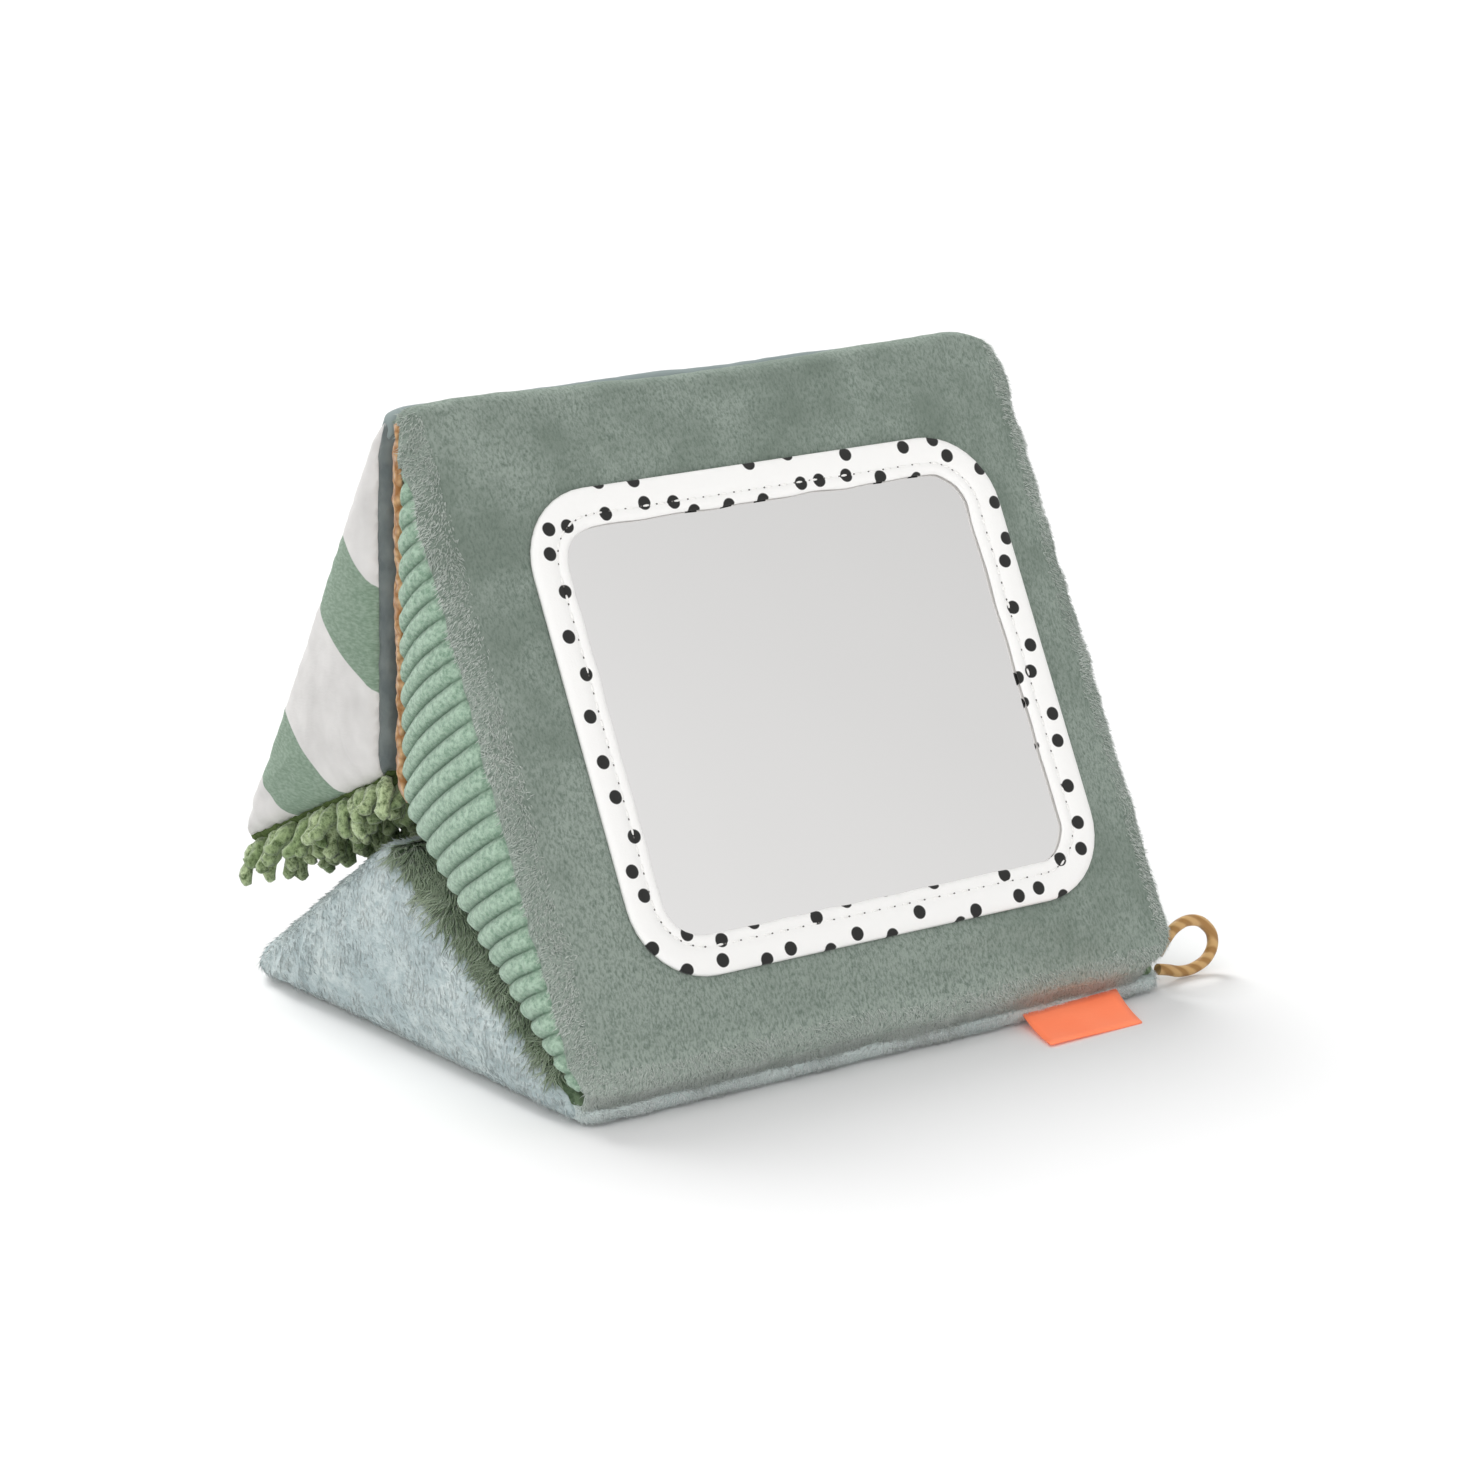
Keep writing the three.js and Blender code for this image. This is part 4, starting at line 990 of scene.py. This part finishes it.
def grow_pile(
    name, panel, facing, per_mm2, seeds, nap, lift, spread, finish, body, seed, where=None, flare=0.0,
):
    """Blades planted over the side of a panel that faces one way, combed along the nap and lifted off it."""
    mesh = panel.data
    dice = np.random.default_rng(seed)
    mesh.calc_loop_triangles()
    co = positions(mesh)
    tri = np.array([t.vertices for t in mesh.loop_triangles])
    a, b, c = co[tri[:, 0]], co[tri[:, 1]], co[tri[:, 2]]
    cross = np.cross(b - a, c - a)
    area = np.linalg.norm(cross, axis=1) / 2
    normal = cross / np.maximum(2 * area, 1e-12)[:, None]
    area = area * (normal @ np.array(facing) > 0.1)
    if where is not None:
        area = area * where((a + b + c) / 3 / mm)
    count = int(area.sum() * 1e6 * per_mm2)
    picked = dice.choice(len(area), count, p=area / area.sum())
    u, v = dice.random(count), dice.random(count)
    fold = u + v > 1
    u[fold], v[fold] = 1 - u[fold], 1 - v[fold]
    spots = a[picked] + (b - a)[picked] * u[:, None] + (c - a)[picked] * v[:, None]
    longest = 1.2 * max(positions(s)[:, 2].max() for s in seeds)
    planted = []
    for spot, up_way in zip(spots, normal[picked]):
        up_way = Vector(up_way)
        at = Vector(spot) * 110
        clump = Vector(noise.noise(at + Vector(shift)) for shift in ((0, 0, 0), (9, 0, 0), (0, 9, 0)))
        way = Vector(nap) + clump * 1.1 + Vector(dice.normal(0, spread, 3))
        way.x += flare * np.sign(spot[0]) * max(0.0, (abs(spot[0]) / mm - 88) / 10)
        way = ((way - up_way * way.dot(up_way)).normalized() + up_way * lift * (1 + 0.6 * clump.x)).normalized()
        lowest = (0.3 * mm - spot[2]) / longest
        if way.z < lowest:
            flat = math.sqrt(1 - lowest ** 2) / math.hypot(way.x, way.y)
            way = Vector((way.x * flat, way.y * flat, lowest))
        side = way.cross(up_way).normalized()
        turn = Matrix((side, way.cross(side), way)).transposed().to_4x4()
        stretch = Matrix.Scale(dice.uniform(0.7, 1.2), 4)
        root = Vector(spot) - up_way * 0.2 * mm
        planted.append((int(dice.integers(0, len(seeds))), Matrix.Translation(root) @ turn @ stretch,
                        0.5 + 0.5 * clump.y + dice.normal(0, 0.12)))
    return repeated(name, seeds, planted, finish, body)


def pile_material(name, low, high):
    """Polyester pile: matt blades with a soft sheen, some paler than others, in patches and one by one."""
    m, shader = material(name, low, 0.9, sheen=0.3)
    at = add(m, "TexCoord", {}, "Object")
    tone = add(m, "Attribute", {"attribute_name": "tone"}, "Fac")
    broad = add(m, "TexNoise", {"Vector": at, "Scale": 1 / (20 * mm), "Detail": 3})
    patches = add(m, "MapRange", {"Value": broad, "From Min": 0.3, "From Max": 0.7})
    blended = add(m, "Mix", {"Factor": 0.5, "A": patches, "B": tone})
    fill(m, shader, {"Base Color": toned(m, blended, 0.0, 1.0, low, high)})
    return m


blue_pile = pile_material("blue grey pile", "#9fafb1", "#dde5e3")
green_pile = pile_material("green pile", "#62775a", "#adbca2")
teal_fuzz = pile_material("teal cotton fuzz", "#dfe8e6", "#f3f7f6")
sage_pile = pile_material("sage pile", "#b7c2b9", "#e2e8e2")
plush_blades = [blade(0.3, 2.8, bend) for bend in (-0.3, 0.1, 0.5)]
fur_blades = [blade(0.5, 7.0, bend) for bend in (-1.4, 0.4, 1.8)]
edge_blades = [blade(0.15, 1.9, bend) for bend in (0.1, 0.4)]
hem_blades = [blade(0.15, 3.0, bend) for bend in (0.1, 0.6)]
for side, hand, seed in (("left", -1, 11), ("right", 1, 12)):
    grow_pile("plush_pile_" + side, base_ends[hand], (hand, 0, 0), 1.5, plush_blades, (0, -0.5, -1.0), 0.1,
              0.25, blue_pile, "base_cushion", seed)
grow_pile("plush_pile_back", base_back, (0, 0.53, 0.85), 0.8, plush_blades, (0, 1.0, -0.6), 0.2, 0.25,
          blue_pile, "base_cushion", 13, flare=0.8)
grow_pile("fur_pile", base_front, (0, -0.475, 0.88), 0.4, fur_blades, (0, -0.9, -0.5), 0.04, 0.3,
          green_pile, "base_cushion", 14, where=lambda p: (abs(p[:, 0]) < 88) & (p[:, 1] > -78))
grow_pile("fur_edges", base_front, (0, -0.475, 0.88), 2.6, fur_blades, (0, -0.9, -0.5), 0.12, 0.3,
          green_pile, "base_cushion", 15, where=lambda p: (abs(p[:, 0]) > 87) & (p[:, 1] > -77),
          flare=1.3)
grow_pile("sage_edges", sage_face, (0, -0.3, 0.1), 3.0, edge_blades, (0, -0.3, -0.8), 0.6, 0.4,
          sage_pile, "front_cushion", 16, where=lambda p: (abs(p[:, 0]) > 93) | (p[:, 2] < 16),
          flare=0.8)
grow_pile("teal_edges", teal_underside, (0, -1.0, 0.3), 4.0, edge_blades, (0, -0.6, -0.8), 0.5, 0.4,
          teal_fuzz, "base_cushion", 18, where=lambda p: p[:, 1] < -70)


# Hinges: a strip of the outer cloth rolls over each pair of thin edges where two cushions are sewn together.
# Its long edges are tucked under their faces and its ends die away into the corners.
strip_left, strip_right = -96.0, 91.0


def hinge_strip(name, node, first, second, facing, reach, height, bulge, finish):
    """A strip over the outside of two thin edges, whose centres (y, z) are first and second."""
    p, q, out = Vector(first), Vector(second), Vector(facing).normalized()
    along, span = (q - p).normalized(), (q - p).length
    bm = bmesh.new()
    bmesh.ops.create_grid(bm, x_segments=94, y_segments=14, size=0.5)
    for vertex in bm.verts:
        x = strip_left + (strip_right - strip_left) * (vertex.co.x + 0.5)
        across = vertex.co.y + 0.5
        start = reach[0] + reach[2] * min(1.0, max(0.0, (-50 - x) / 46))
        share = start + (reach[1] - start) * across
        ending = max(0.0, 8 - (x - strip_left), 8 - (strip_right - x)) / 8
        beyond = max(0.0, -share, share - 1) * span
        rise = math.sqrt(height ** 2 - beyond ** 2) - 0.35 * math.sin(math.pi * share) ** 2 * (beyond == 0)
        rise += bulge * math.sin(x * math.pi / ridge_wave) ** 2 - 1.2 * abs(2 * across - 1) ** 6
        rise += 0.3 * noise.noise(Vector((x * 0.06, share * 2, 4.0))) - 3.0 * ending ** 2
        centre = p + along * (share * span + 0.3 * noise.noise(Vector((x * 0.12, 0, 7.0)))) + out * rise
        vertex.co = (x * mm, centre.x * mm, centre.y * mm)
    turn_faces(bm, (0, out.x, out.y))
    thickened(bm, 1.2)
    strip = new_object(name, mesh_from(bm, name), finish, None)
    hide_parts(node)
    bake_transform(strip)
    return strip


base_seam, front_seam = (-85.0, 4.7), (-89.37, 12.8)
front_strip = hinge_strip(
    "front_edge_strip", "base_hinge_seam", base_seam, front_seam, (-0.88, -0.475),
    (-0.36, 1.1, 0.42), 5.2, 0.0, sage_plush,
)
strip_pile = grow_pile("front_strip_pile", front_strip, (0, -0.88, -0.3), 6.0, hem_blades, (0, -0.1, -1.0),
                       0.45, 0.4, sage_pile, None, 17)
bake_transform(strip_pile)
hinge_strip(
    "ridge_strip", "ridge_hinge_seam", (-11.17, 172.7), (-1.98, 173.22), (-0.057, 0.998),
    (-0.1, 1.02, 0.0), 5.0, 0.8, sage_plush,
)


# Side tag: a bare ribbon, folded double and sewn into the front seam, that slopes down to the floor.
tag_middle, tag_width, tag_root, tag_depth, tag_skew = 62.5, 33, -91.4, 18.8, 5.5
bm = bmesh.new()
bmesh.ops.create_grid(bm, x_segments=14, y_segments=8, size=0.5)
for vertex in bm.verts:
    u, v = vertex.co.x, vertex.co.y + 0.5
    sag = 0.8 * math.sin(math.pi * v) + 0.3 * math.sin(math.pi * u) * v
    vertex.co = (
        (tag_middle + tag_width * u - tag_skew * v) * mm, (tag_root - tag_depth * v + 1.2 * u * v) * mm,
        (4.2 + 1.0 * u - (3.3 + 1.0 * u) * v - sag) * mm,
    )
turn_faces(bm, (0, 0, 1))
bmesh.ops.solidify(bm, geom=bm.faces[:], thickness=0.5 * mm)
# Polyester ribbon: bright orange, woven fine. It is given a faint painted glow, an orange emission that
# brightens it where the book shades it.
ribbon = woven("orange ribbon", "#ff8c62", "#ff976f", 0.45, 0.6)
shader = ribbon.node_tree.nodes["Principled BSDF"]
fill(ribbon, shader, {"Emission Color": "#ff6a3c", "Emission Strength": 0.24})
tag = new_object("ribbon_tag", mesh_from(bm, "ribbon_tag"), ribbon, "base_cushion")
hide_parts("side_tag")
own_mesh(tag)


# Floor and light: a white floor under a pale even sky, with one broad lamp above the back and one at the
# front left. The sky is white to the camera, and in a mirror it fades from one side to the other.
bm = bmesh.new()
bmesh.ops.create_grid(bm, x_segments=1, y_segments=1, size=8)
floor_white, shader = material("white floor", "#e8e8e8", 1.0)
lift = add(floor_white, "Math", {
    "operation": "MULTIPLY", 0: add(floor_white, "LightPath", {}, "Is Camera Ray"), 1: 0.05,
})
fill(floor_white, shader, {"Specular IOR Level": 0.0, "Emission Color": "#ffffff", "Emission Strength": lift})
floor = new_object("floor", mesh_from(bm, "floor"), floor_white, None, smooth=False)

world = bpy.data.worlds.new("studio")
scene.world = world
world.use_nodes = True
across = add(world, "VectorMath", {
    "operation": "DOT_PRODUCT", 0: add(world, "TexCoord", {}, "Generated"), 1: (0.546, 0.727, 0.413),
}, "Value")
fade = add(world, "MapRange", {
    "Value": across, "From Min": -0.15, "From Max": 0.15, "To Min": 1.08, "To Max": 0.72,
})
sky = add(world, "Mix", {"Factor": add(world, "LightPath", {}, "Is Glossy Ray"), "A": 0.56, "B": fade})
seen = add(world, "Mix", {"Factor": add(world, "LightPath", {}, "Is Camera Ray"), "A": sky, "B": 1.0})
fill(world, world.node_tree.nodes["Background"], {"Color": "#ffffff", "Strength": seen})


def broad_lamp(name, way, spread, strength):
    """A distant lamp that way from the book, whose light spreads over so many degrees."""
    data = bpy.data.lights.new(name, "SUN")
    data.angle = math.radians(spread)
    data.energy = strength
    lamp = bpy.data.objects.new(name, data)
    scene.collection.objects.link(lamp)
    lamp.rotation_euler = (-Vector(way)).to_track_quat("-Z", "Y").to_euler()


broad_lamp("rear_top", (0.0, 0.7, 0.8), 30, 2.3)
broad_lamp("front_left", (-0.55, -0.6, 0.6), 80, 1.2)
